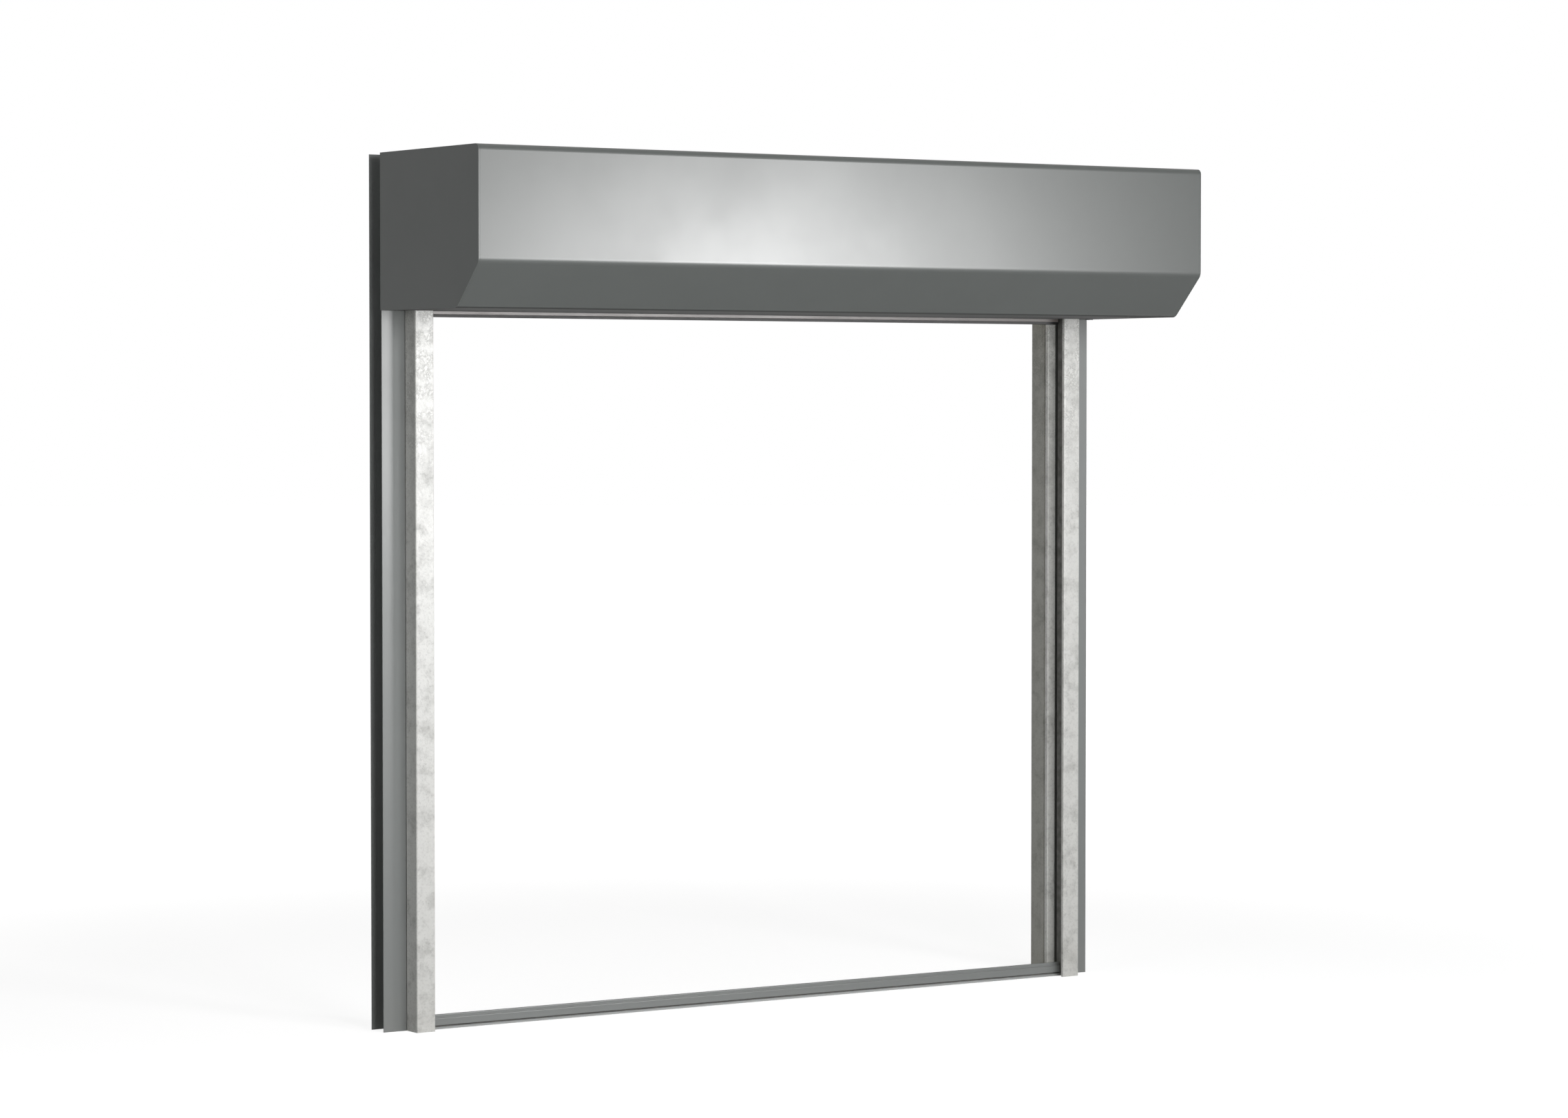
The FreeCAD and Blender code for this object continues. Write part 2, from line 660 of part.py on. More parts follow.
def seal_carrier():
    """The angle on the lintel that holds the brush against the rear of the curtain."""
    half = LIP_X - SEAT
    low = CLEAR_HEIGHT + CARRIER_RISE
    path = [
        (LINTEL_FRONT_Y - CARRIER_REACH, low),
        (LINTEL_FRONT_Y, low),
        (LINTEL_FRONT_Y, low + CARRIER_LEG),
    ]
    place = lambda point: side(point, -half)
    return folded(path, CARRIER_SHEET, [EDGE_BEND], place, V(2 * half, 0, 0))


def lintel_brush():
    half = LIP_X - SEAT
    z = CLEAR_HEIGHT + CARRIER_RISE + CARRIER_SHEET
    return block(
        (-half, BOTTOM_RAIL_REAR_Y + BRUSH_GAP, z),
        (half, LINTEL_FRONT_Y - CARRIER_SHEET - EDGE_BEND, z + BRUSH_THICKNESS),
    )


def sill_foot():
    """The threshold plate with its bevelled lip."""
    rear = REAR_LEG_Y - SEAT
    front = -SILL_FOOT_REACH
    height = SILL_FOOT_HEIGHT - SILL_BED
    outline = [
        (front, 0.0),
        (front, height - SILL_FOOT_BEVEL),
        (front + SILL_FOOT_BEVEL, height),
        (rear, height),
        (rear, 0.0),
    ]
    return polygon(outline, lambda point: side(point, -SILL_X), V(2 * SILL_X, 0, 0))


def sill_bed():
    """The dark bedding strip that shows as a line under the sill's face."""
    low = SILL_FOOT_HEIGHT - SILL_BED
    return block(
        (-SILL_X, SILL_FACE_Y + 2 * SILL_WALL, low),
        (SILL_X, REAR_LEG_Y - SILL_WALL, SILL_FOOT_HEIGHT),
    )


def sill_bar():
    """The painted hollow sill, with a rounded ridge in front of the curtain's landing."""
    ridge_rear = -SEAL_LANDING_GAP - SLAT_PLAY
    ridge_front = ridge_rear - SILL_RIDGE_WIDTH
    rear = REAR_LEG_Y - SEAT
    crest = (ridge_front + ridge_rear) / 2
    shoulder = SILL_RIDGE_TOP_Z - SILL_RIDGE_WIDTH / 2
    start = -(SILL_X - SILL_END_GAP)
    place = lambda point: side(point, start)
    foot, behind, top, before = (
        place(point) for point in (
            (ridge_rear, SILL_LANDING_Z),
            (ridge_rear, shoulder),
            (crest, SILL_RIDGE_TOP_Z),
            (ridge_front, shoulder),
        )
    )
    edges = [Part.LineSegment(foot, behind).toShape(), Part.Arc(behind, top, before).toShape()]
    rest = [
        (ridge_front, shoulder),
        (ridge_front, SILL_LANDING_Z),
        (SILL_FACE_Y, SILL_LANDING_Z),
        (SILL_FACE_Y, SILL_FOOT_HEIGHT),
        (rear, SILL_FOOT_HEIGHT),
        (rear, SILL_LANDING_Z),
        (ridge_rear, SILL_LANDING_Z),
    ]
    corners = [SILL_LEDGE_CORNER, SILL_FACE_CORNER, SILL_FACE_CORNER, SILL_CORNER, SILL_CORNER]
    edges += path_edges(rest, corners, place)
    bar = Part.Face(Part.Wire(edges)).extrude(V(-2 * start, 0, 0))
    hollow = block(
        (start, SILL_FACE_Y + SILL_WALL, SILL_FOOT_HEIGHT + SILL_WALL),
        (-start, rear - SILL_WALL, SILL_LANDING_Z - SILL_WALL),
    )
    return bar.cut(hollow)


def coil_hinges():
    """Hinge points of the wound curtain, from the barrel out to where it leaves the coil."""
    def at(angle):
        radius = SPIRAL_R + SPIRAL_GROWTH * angle / (2 * math.pi)
        return radius * math.cos(angle), radius * math.sin(angle)

    wound = TRAVEL + TURNS_LEFT * 2 * math.pi * SPIRAL_R
    angles = [0.0]
    for _ in range(math.ceil(wound / SLAT_PITCH)):
        low = angles[-1]
        high = low + math.pi / 2
        for _ in range(50):
            middle = (low + high) / 2
            if math.dist(at(angles[-1]), at(middle)) < SLAT_PITCH:
                low = middle
            else:
                high = middle
        angles.append(high)
    last = angles[-1]
    hinges = []
    for angle in angles:
        radius = math.hypot(*at(angle))
        hinges.append((radius * math.cos(last - angle), radius * math.sin(last - angle)))
    return hinges


HINGES = coil_hinges()
COIL_R = HINGES[-1][0]
LEAD_LENGTH = LEAD_SLATS * SLAT_PITCH
LEAD_LEAN = CURTAIN_Y - (BARREL_Y + COIL_R)
BARREL_Z = LEAD_Z + math.sqrt(LEAD_LENGTH ** 2 - LEAD_LEAN ** 2)


def slat(start, end):
    """A hollow slat between two hinge points in the side view, rounded along both hinges."""
    way = unit(start, end)
    half = SLAT_THICKNESS / 2
    inset = half + SLAT_GAP / 2
    length = math.dist(start, end)

    def place(point):
        return side((
            start[0] + way[0] * point[0] - way[1] * point[1],
            start[1] + way[1] * point[0] + way[0] * point[1],
        ), -SLAT_X)

    def capsule(radius):
        low = (inset, -radius)
        return [
            Part.LineSegment(place(low), place((length - inset, -radius))).toShape(),
            Part.Arc(place((length - inset, -radius)), place((length - inset + radius, 0.0)),
                     place((length - inset, radius))).toShape(),
            Part.LineSegment(place((length - inset, radius)), place((inset, radius))).toShape(),
            Part.Arc(place((inset, radius)), place((inset - radius, 0.0)), place(low)).toShape(),
        ]

    run = V(2 * SLAT_X, 0, 0)
    outer = Part.Face(Part.Wire(capsule(half))).extrude(run)
    inner = Part.Face(Part.Wire(capsule(half - SLAT_WALL))).extrude(run)
    return outer.cut(inner)


def curtain_coil():
    points = [(BARREL_Y + y, BARREL_Z + z) for y, z in HINGES]
    return Part.makeCompound([slat(a, b) for a, b in zip(points, points[1:])])


def curtain_lead():
    """The slats that hang between the coil and the bottom rail."""
    top = (BARREL_Y + COIL_R, BARREL_Z)
    foot = (CURTAIN_Y, LEAD_Z)
    points = [
        (foot[0] + (top[0] - foot[0]) * k / LEAD_SLATS, foot[1] + (top[1] - foot[1]) * k / LEAD_SLATS)
        for k in range(LEAD_SLATS + 1)
    ]
    return Part.makeCompound([slat(a, b) for a, b in zip(points, points[1:])])


def curtain_straps():
    """Spring steel straps from the barrel to the innermost slat."""
    start = math.atan2(HINGES[0][1], HINGES[0][0])
    turn = STRAP_LENGTH / BARREL_R
    inner = BARREL_R + SEAT
    outer = inner + STRAP_SHEET

    def at(radius, share):
        angle = start + share * turn
        return side((BARREL_Y + radius * math.cos(angle), BARREL_Z + radius * math.sin(angle)), 0.0)

    section = Part.Wire([
        Part.Arc(at(inner, 0.0), at(inner, 0.5), at(inner, 1.0)).toShape(),
        Part.LineSegment(at(inner, 1.0), at(outer, 1.0)).toShape(),
        Part.Arc(at(outer, 1.0), at(outer, 0.5), at(outer, 0.0)).toShape(),
        Part.LineSegment(at(outer, 0.0), at(inner, 0.0)).toShape(),
    ])
    strap = Part.Face(section).extrude(V(STRAP_WIDTH, 0, 0))
    pitch = 2 * BARREL_X / (STRAP_COUNT + 1)
    first = -pitch * (STRAP_COUNT - 1) / 2 - STRAP_WIDTH / 2
    return Part.makeCompound([strap.translated(V(first + k * pitch, 0, 0)) for k in range(STRAP_COUNT)])


def bottom_rail():
    """The hollow aluminium rail at the foot of the curtain."""
    half = BOTTOM_RAIL_X
    place = lambda point: side(point, -half)
    wall = BOTTOM_RAIL_WALL
    middle = BOTTOM_RAIL_REAR_Y / 2
    outline = [
        (middle, BOTTOM_RAIL_Z),
        (BOTTOM_RAIL_REAR_Y, BOTTOM_RAIL_Z),
        (BOTTOM_RAIL_REAR_Y, SHOULDER_Z),
        (0.0, SHOULDER_Z),
        (0.0, BOTTOM_RAIL_Z),
        (middle, BOTTOM_RAIL_Z),
    ]
    edges = path_edges(outline, [BOTTOM_RAIL_CORNER] * 4, place)
    body = Part.Face(Part.Wire(edges)).extrude(V(2 * half, 0, 0))
    hollow = block(
        (-half, wall, BOTTOM_RAIL_Z + 2 * wall),
        (half, BOTTOM_RAIL_REAR_Y - wall, SHOULDER_Z - wall),
    )
    neck = block(
        (-half, CURTAIN_Y - SLAT_THICKNESS / 4, SHOULDER_Z - wall / 2),
        (half, CURTAIN_Y + SLAT_THICKNESS / 4, LEAD_Z - SLAT_GAP),
    )
    slot = block(
        (-half, middle - wall / 2 - SEAT, BOTTOM_RAIL_Z),
        (half, middle + wall / 2 + SEAT, BOTTOM_RAIL_Z + wall),
    )
    return body.fuse(neck).cut([hollow, slot])


def bottom_seal():
    """The hollow rubber seal under the bottom rail, held by a rib in the rail's slot."""
    half = BOTTOM_RAIL_X
    place = lambda point: side(point, -half)
    wall = BOTTOM_RAIL_WALL
    middle = BOTTOM_RAIL_REAR_Y / 2
    outline = [
        (middle, BOTTOM_RAIL_Z),
        (wall / 2, BOTTOM_RAIL_Z),
        (wall / 2, SEAL_Z),
        (BOTTOM_RAIL_REAR_Y - wall / 2, SEAL_Z),
        (BOTTOM_RAIL_REAR_Y - wall / 2, BOTTOM_RAIL_Z),
        (middle, BOTTOM_RAIL_Z),
    ]
    radii = [BOTTOM_SEAL_ROOT, BOTTOM_SEAL_CORNER, BOTTOM_SEAL_CORNER, BOTTOM_SEAL_ROOT]
    body = Part.Face(Part.Wire(path_edges(outline, radii, place))).extrude(V(2 * half, 0, 0))
    rib = block(
        (-half, middle - wall / 2, BOTTOM_RAIL_Z - wall),
        (half, middle + wall / 2, BOTTOM_RAIL_Z + wall - SEAT),
    )
    hollow = block(
        (-half, 1.5 * wall, SEAL_Z + wall),
        (half, BOTTOM_RAIL_REAR_Y - 1.5 * wall, BOTTOM_RAIL_Z - wall),
    )
    return body.fuse(rib).cut(hollow)


def end_shoe():
    """The plastic slider at the end of the bottom rail: a tongue in the rail, a head in the groove."""
    wall = BOTTOM_RAIL_WALL
    half = SLAT_THICKNESS / 2 + SLAT_PLAY - SHOE_PLAY
    tongue = block(
        (BOTTOM_RAIL_X - SHOE_TONGUE, wall + SEAT, BOTTOM_RAIL_Z + 2 * wall + SEAT),
        (BOTTOM_RAIL_X + SEAT + wall, BOTTOM_RAIL_REAR_Y - wall - SEAT, SHOULDER_Z - wall - SEAT),
    )
    head = block(
        (BOTTOM_RAIL_X + SEAT, CURTAIN_Y - half, SILL_RIDGE_TOP_Z + TRAVEL + 2 * wall),
        (SHOE_X, CURTAIN_Y + half, LEAD_Z - SLAT_GAP),
    )
    return tongue.fuse(head)


def console_screw_points():
    x = CONSOLE_END_X - CONSOLE_FOOT / 2
    y = -SEAT - CONSOLE_PLATE
    low = BARREL_Z - CONSOLE_DROP + 3 * BOLT_HEAD_R
    return [V(x, y, low), V(x, y, BARREL_Z + CONSOLE_RISE - 3 * BOLT_HEAD_R)]


def console(bore_r, hole_points):
    """A bearing console: a plate across the hood with a foot bolted to the wall frame."""
    x = CONSOLE_X
    end = x + CONSOLE_PLATE
    low = BARREL_Z - CONSOLE_DROP
    top = BARREL_Z + CONSOLE_RISE
    outline = [
        (-SEAT, low),
        (-SEAT, top),
        (BARREL_Y, BARREL_Z + CONSOLE_NOSE_R),
        (BARREL_Y, BARREL_Z - CONSOLE_NOSE_R),
    ]
    web = polygon(outline, lambda point: side(point, x), V(CONSOLE_PLATE, 0, 0))
    nose = round_x(CONSOLE_NOSE_R, x, end, BARREL_Y, BARREL_Z)
    foot = block((x, -SEAT - CONSOLE_PLATE, low), (CONSOLE_END_X, -SEAT, top))
    cuts = [round_x(bore_r, x - 1, end + 1, BARREL_Y, BARREL_Z)]
    cuts += [bolt_hole(point - ALONG_Y, ALONG_Y, CONSOLE_PLATE + 2) for point in console_screw_points()]
    cuts += [round_x(BOLT_R + BOLT_FIT, x - 1, end + 1, y, z) for y, z in hole_points]
    return nose.fuse([web, foot]).cut(cuts)


def circle_points(pcd, count=4):
    """Points on a circle round the barrel's axis, half a pitch up from its front."""
    angles = [2 * math.pi * (k + 0.5) / count for k in range(count)]
    return [(BARREL_Y + pcd / 2 * math.cos(a), BARREL_Z + pcd / 2 * math.sin(a)) for a in angles]


def bearing_housing():
    """A cast housing on the outside of the idler console: a round body with four bolted arms."""
    x = CONSOLE_X + CONSOLE_PLATE
    points = circle_points(BEARING_BOLT_PCD)
    reach = BEARING_BOLT_PCD / 2
    half = BEARING_ARM / 2
    arms = [round_x(BEARING_PAD_R, x, x + BEARING_FLANGE, y, z) for y, z in points]
    for way in (unit((BARREL_Y, BARREL_Z), point) for point in points[:2]):
        corners = [
            (
                BARREL_Y + along * way[0] * reach - across * way[1] * half,
                BARREL_Z + along * way[1] * reach + across * way[0] * half,
            )
            for along, across in ((-1, -1), (1, -1), (1, 1), (-1, 1))
        ]
        arms.append(polygon(corners, lambda point: side(point, x), V(BEARING_FLANGE, 0, 0)))
    body = round_x(BEARING_BODY_R, x, x + BEARING_HEIGHT, BARREL_Y, BARREL_Z)
    cuts = [round_x(BOLT_R + BOLT_FIT, x - 1, x + BEARING_HEIGHT, y, z) for y, z in points]
    cuts.append(round_x(BEARING_RING_R, x - 1, x + BEARING_HEIGHT + 1, BARREL_Y, BARREL_Z))
    return body.fuse(arms).removeSplitter().cut(cuts)


def bearing_ring():
    x = CONSOLE_X + CONSOLE_PLATE
    outer = BEARING_RING_R - RUNNING_FIT
    return ring_x(outer, SHAFT_R + RUNNING_FIT, x, x + BEARING_HEIGHT, BARREL_Y, BARREL_Z)


def idler_shaft():
    """The shaft in the barrel's idler end, with a collar that locates it beside the console."""
    end = CONSOLE_X + CONSOLE_PLATE + BEARING_HEIGHT + SHAFT_END
    shaft = round_x(SHAFT_R, BARREL_X - SHAFT_INSIDE, end, BARREL_Y, BARREL_Z)
    return shaft.fuse(round_x(COLLAR_R, BARREL_X, CONSOLE_X - COLLAR_GAP, BARREL_Y, BARREL_Z))


def end_disc():
    """A disc welded into the barrel's idler end, with a hub on the shaft."""
    x = BARREL_X - END_DISC
    outer = BARREL_R - BARREL_WALL - RUNNING_FIT
    disc = round_x(outer, x, BARREL_X, BARREL_Y, BARREL_Z)
    hub = round_x(HUB_R, x - HUB_LENGTH, x, BARREL_Y, BARREL_Z)
    bore = round_x(SHAFT_R + RUNNING_FIT, x - SHAFT_INSIDE, BARREL_X + 1, BARREL_Y, BARREL_Z)
    return disc.fuse(hub).cut(bore)


def barrel_tube():
    return ring_x(BARREL_R, BARREL_R - BARREL_WALL, -BARREL_X, BARREL_X, BARREL_Y, BARREL_Z)


def motor_places():
    """The motor from its bracket inwards: bracket, head, tube and the end of the output shaft."""
    bracket_x = CONSOLE_X - MOTOR_BRACKET
    head_x = bracket_x - MOTOR_HEAD_LENGTH
    return bracket_x, head_x, head_x - MOTOR_LENGTH


def motor_bracket():
    bracket_x, _, _ = motor_places()
    half = MOTOR_BOLT_PCD / 2 * math.cos(math.radians(45)) + 1.4 * BOLT_HEAD_R
    plate = block(
        (bracket_x, BARREL_Y - half, BARREL_Z - half),
        (CONSOLE_X, BARREL_Y + half, BARREL_Z + half),
    )
    uprights = [edge for edge in plate.Edges if abs(edge.tangentAt(edge.FirstParameter).x) > 0.9]
    plate = plate.makeFillet(MOTOR_BRACKET_CORNER, uprights)
    holes = [
        round_x(BOLT_R + BOLT_FIT, bracket_x - 1, CONSOLE_X + 1, y, z)
        for y, z in circle_points(MOTOR_BOLT_PCD)
    ]
    return plate.cut(holes)


def motor_head():
    bracket_x, head_x, _ = motor_places()
    head = round_x(MOTOR_HEAD_R, head_x, bracket_x, BARREL_Y, BARREL_Z)
    return head.makeFillet(MOTOR_HEAD_LENGTH / 6, [head.Edges[0], head.Edges[2]])


def motor_tube():
    _, head_x, end_x = motor_places()
    tube = round_x(MOTOR_R, end_x, head_x, BARREL_Y, BARREL_Z)
    seat = round_x(OUTPUT_R + RUNNING_FIT, end_x, end_x + WHEEL_WIDTH, BARREL_Y, BARREL_Z)
    hollow_x = end_x + 2 * WHEEL_WIDTH
    hollow = round_x(MOTOR_R - MOTOR_WALL, hollow_x, head_x, BARREL_Y, BARREL_Z)
    return tube.cut([seat, hollow])


def output_shaft():
    _, _, end_x = motor_places()
    start = end_x - 2 * WHEEL_GAP - WHEEL_WIDTH
    return round_x(OUTPUT_R, start, end_x + WHEEL_WIDTH - SEAT, BARREL_Y, BARREL_Z)


def spoked_wheel(x0, width, bore):
    """A wheel inside the barrel with lightening holes, on a shaft or a tube of the given bore."""
    outer = BARREL_R - BARREL_WALL - RUNNING_FIT
    wheel = ring_x(outer, bore, x0, x0 + width, BARREL_Y, BARREL_Z)
    hole_r = (outer - bore) / 4
    points = circle_points(outer + bore, WHEEL_HOLES)
    return wheel.cut([round_x(hole_r, x0 - 1, x0 + width + 1, y, z) for y, z in points])


def drive_wheel():
    _, _, end_x = motor_places()
    return spoked_wheel(end_x - WHEEL_GAP - WHEEL_WIDTH, WHEEL_WIDTH, OUTPUT_R + RUNNING_FIT)


def limit_crown():
    return spoked_wheel(BARREL_X - CROWN_WIDTH, CROWN_WIDTH, MOTOR_R + RUNNING_FIT)


def grommet():
    point = grommet_point()
    rim = Part.makeCylinder(GROMMET_R + GROMMET_RIM, GROMMET_RIM, point, ALONG_Z)
    neck = Part.makeCylinder(GROMMET_R - BOLT_FIT, GROMMET_RIM + HOOD_SHEET, point, ALONG_Z)
    clip_start = point + ALONG_Z * (GROMMET_RIM + HOOD_SHEET)
    clip = Part.makeCylinder(GROMMET_R + GROMMET_RIM / 2, GROMMET_RIM, clip_start, ALONG_Z)
    bore = Part.makeCylinder(GROMMET_BORE_R, 4 * GROMMET_RIM + HOOD_SHEET, point - ALONG_Z, ALONG_Z)
    return rim.fuse([neck, clip]).cut(bore)


def frame_screws(points):
    """Coach screws through the wall frame's front flange into the wall, on both sides."""
    return both(Part.makeCompound([coach_screw(point, ALONG_Y) for point in points]))


def barrel_bolts(pcd, x, grip):
    """Bolts round the barrel's axis, with their heads outside the console."""
    return Part.makeCompound([bolt(V(x, y, z), -ALONG_X, grip) for y, z in circle_points(pcd)])


def build():
    nodes = {
        "hood_cover": hood_cover(),
        "hood_rib_left": hood_rib(-RIB_SPACING),
        "hood_rib_centre": hood_rib(0.0),
        "hood_rib_right": hood_rib(RIB_SPACING),
        "head_channel": head_channel(),
        "lintel_core": lintel_core(),
        "lintel_skins": lintel_skins(),
        "lintel_seal_carrier": seal_carrier(),
        "lintel_brush": lintel_brush(),
        "sill_foot": sill_foot(),
        "sill_bed": sill_bed(),
        "sill_bar": sill_bar(),
        "bearing_housing": on(LEFT, bearing_housing()),
        "bearing_ring": on(LEFT, bearing_ring()),
        "idler_shaft": on(LEFT, idler_shaft()),
        "barrel_end_disc": on(LEFT, end_disc()),
        "barrel_tube": barrel_tube(),
        "drive_wheel": drive_wheel(),
        "limit_crown": limit_crown(),
        "output_shaft": output_shaft(),
        "motor_tube": motor_tube(),
        "motor_head": motor_head(),
        "motor_bracket": motor_bracket(),
        "curtain_coil": curtain_coil(),
        "curtain_straps": curtain_straps(),
        "curtain_lead": curtain_lead(),
        "bottom_rail": bottom_rail(),
        "bottom_seal": bottom_seal(),
        "console_left": on(LEFT, console(BEARING_RING_R, circle_points(BEARING_BOLT_PCD))),
        "console_right": console(CABLE_BORE_R, circle_points(MOTOR_BOLT_PCD)),
        "console_screws": frame_screws(console_screw_points()),
        "bracket_screws": frame_screws(bracket_screw_points()),
        "end_cap_screws": both(Part.makeCompound([screw(point, ALONG_Y) for point in cap_screw_points()])),
        "hood_screws": Part.makeCompound([screw(point, -ALONG_Z) for point in hood_screw_points()]),
        "cable_grommet": grommet(),
    }
    for name, which in (("left", LEFT), ("right", RIGHT)):
        nodes["end_cap_" + name] = on(which, end_cap())
        nodes["wall_channel_" + name] = on(which, wall_channel())
        nodes["guide_rail_" + name] = on(which, guide_rail())
        nodes["guide_liner_" + name] = on(which, guide_liner())
        nodes["guide_insert_" + name] = on(which, guide_insert())
        nodes["inlet_funnel_" + name] = on(which, inlet_funnel())
        nodes["foot_plate_" + name] = on(which, foot_plate())
        nodes["rail_bracket_" + name] = on(which, rail_bracket())
        nodes["reveal_post_" + name] = on(which, reveal_post())
        nodes["end_shoe_" + name] = on(which, end_shoe())
    console_face = CONSOLE_X + CONSOLE_PLATE
    flange_face = console_face + BEARING_FLANGE
    bearing_grip = BEARING_FLANGE + CONSOLE_PLATE
    nodes["bearing_bolts"] = on(LEFT, barrel_bolts(BEARING_BOLT_PCD, flange_face, bearing_grip))
    nodes["motor_bolts"] = barrel_bolts(MOTOR_BOLT_PCD, console_face, CONSOLE_PLATE + MOTOR_BRACKET)
    return nodes


def main():
    os.makedirs("parts", exist_ok=True)
    nodes = build()
    for name, shape in sorted(nodes.items()):
        shape.exportStep(f"parts/{name}.step")
        faults = "" if shape.isValid() else "  NOT VALID"
        print(f"{name}: {len(shape.Solids)} solids, {shape.Volume / 1e6:.3f} l{faults}")
    print(f"{len(nodes)} nodes, travel {TRAVEL:.1f}, barrel at Y {BARREL_Y:.1f} Z {BARREL_Z:.1f}, "
          f"coil radius {COIL_R:.1f}, {len(HINGES) - 1} wound slats")


main()
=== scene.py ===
"""The loading dock shutter, dressed and lit.

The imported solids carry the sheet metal. This script gives every surface its finish, and makes
the pieces whose shape the solids only stand for: the slats that the curtain shows when it is
lowered, the brush of the lintel and the screws of the hood.
"""
from __future__ import annotations

import functools
import logging
import math
from dataclasses import dataclass
from enum import Enum
from typing import Any, Mapping, Sequence, Union

import bmesh
import bpy
import numpy as np
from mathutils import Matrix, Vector

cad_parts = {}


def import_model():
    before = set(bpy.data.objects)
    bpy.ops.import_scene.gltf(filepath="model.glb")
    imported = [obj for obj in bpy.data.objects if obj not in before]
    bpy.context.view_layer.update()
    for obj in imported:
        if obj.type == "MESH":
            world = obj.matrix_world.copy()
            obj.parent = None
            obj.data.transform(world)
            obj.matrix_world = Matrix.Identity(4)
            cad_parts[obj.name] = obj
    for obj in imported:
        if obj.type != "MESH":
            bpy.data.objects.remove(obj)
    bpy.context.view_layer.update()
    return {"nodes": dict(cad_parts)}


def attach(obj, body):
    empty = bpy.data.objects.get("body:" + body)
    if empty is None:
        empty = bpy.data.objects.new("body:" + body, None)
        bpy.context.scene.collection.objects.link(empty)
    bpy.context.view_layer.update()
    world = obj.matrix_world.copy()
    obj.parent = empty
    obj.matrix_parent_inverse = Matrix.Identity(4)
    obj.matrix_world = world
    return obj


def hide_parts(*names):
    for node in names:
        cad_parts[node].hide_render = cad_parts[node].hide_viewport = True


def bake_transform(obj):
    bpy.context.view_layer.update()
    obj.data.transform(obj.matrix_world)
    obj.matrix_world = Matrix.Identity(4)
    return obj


LOG = logging.getLogger("shutter")

Triple = tuple[float, float, float]
Colour = Triple
Source = Union[bpy.types.NodeSocket, float, Sequence[float]]


class Body(Enum):
    """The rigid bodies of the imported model."""

    FRAME = "frame"
    BARREL = "barrel"
    BOTTOM_RAIL = "bottom_rail"


def linear(red: int, green: int, blue: int) -> Colour:
    """Turns a colour as a screen shows it into the values that light is worked out in.

    Args:
        red: Red from 0 to 255.
        green: Green from 0 to 255.
        blue: Blue from 0 to 255.

    Returns:
        The three linear values, from 0 to 1.
    """
    shares = [level / 255 for level in (red, green, blue)]
    lit = [share / 12.92 if share <= 0.04045 else ((share + 0.055) / 1.055) ** 2.4 for share in shares]
    return lit[0], lit[1], lit[2]


DUST = linear(168, 162, 150)
DARK_DUST = linear(150, 144, 132)
# Painted shade for faces that face down.
UNDERSIDE_SHADE = linear(22, 22, 21)
# Painted shade for the recess of the guide's slot.
SLOT_SHADE = linear(96, 96, 91)
WHITE = (1.0, 1.0, 1.0)


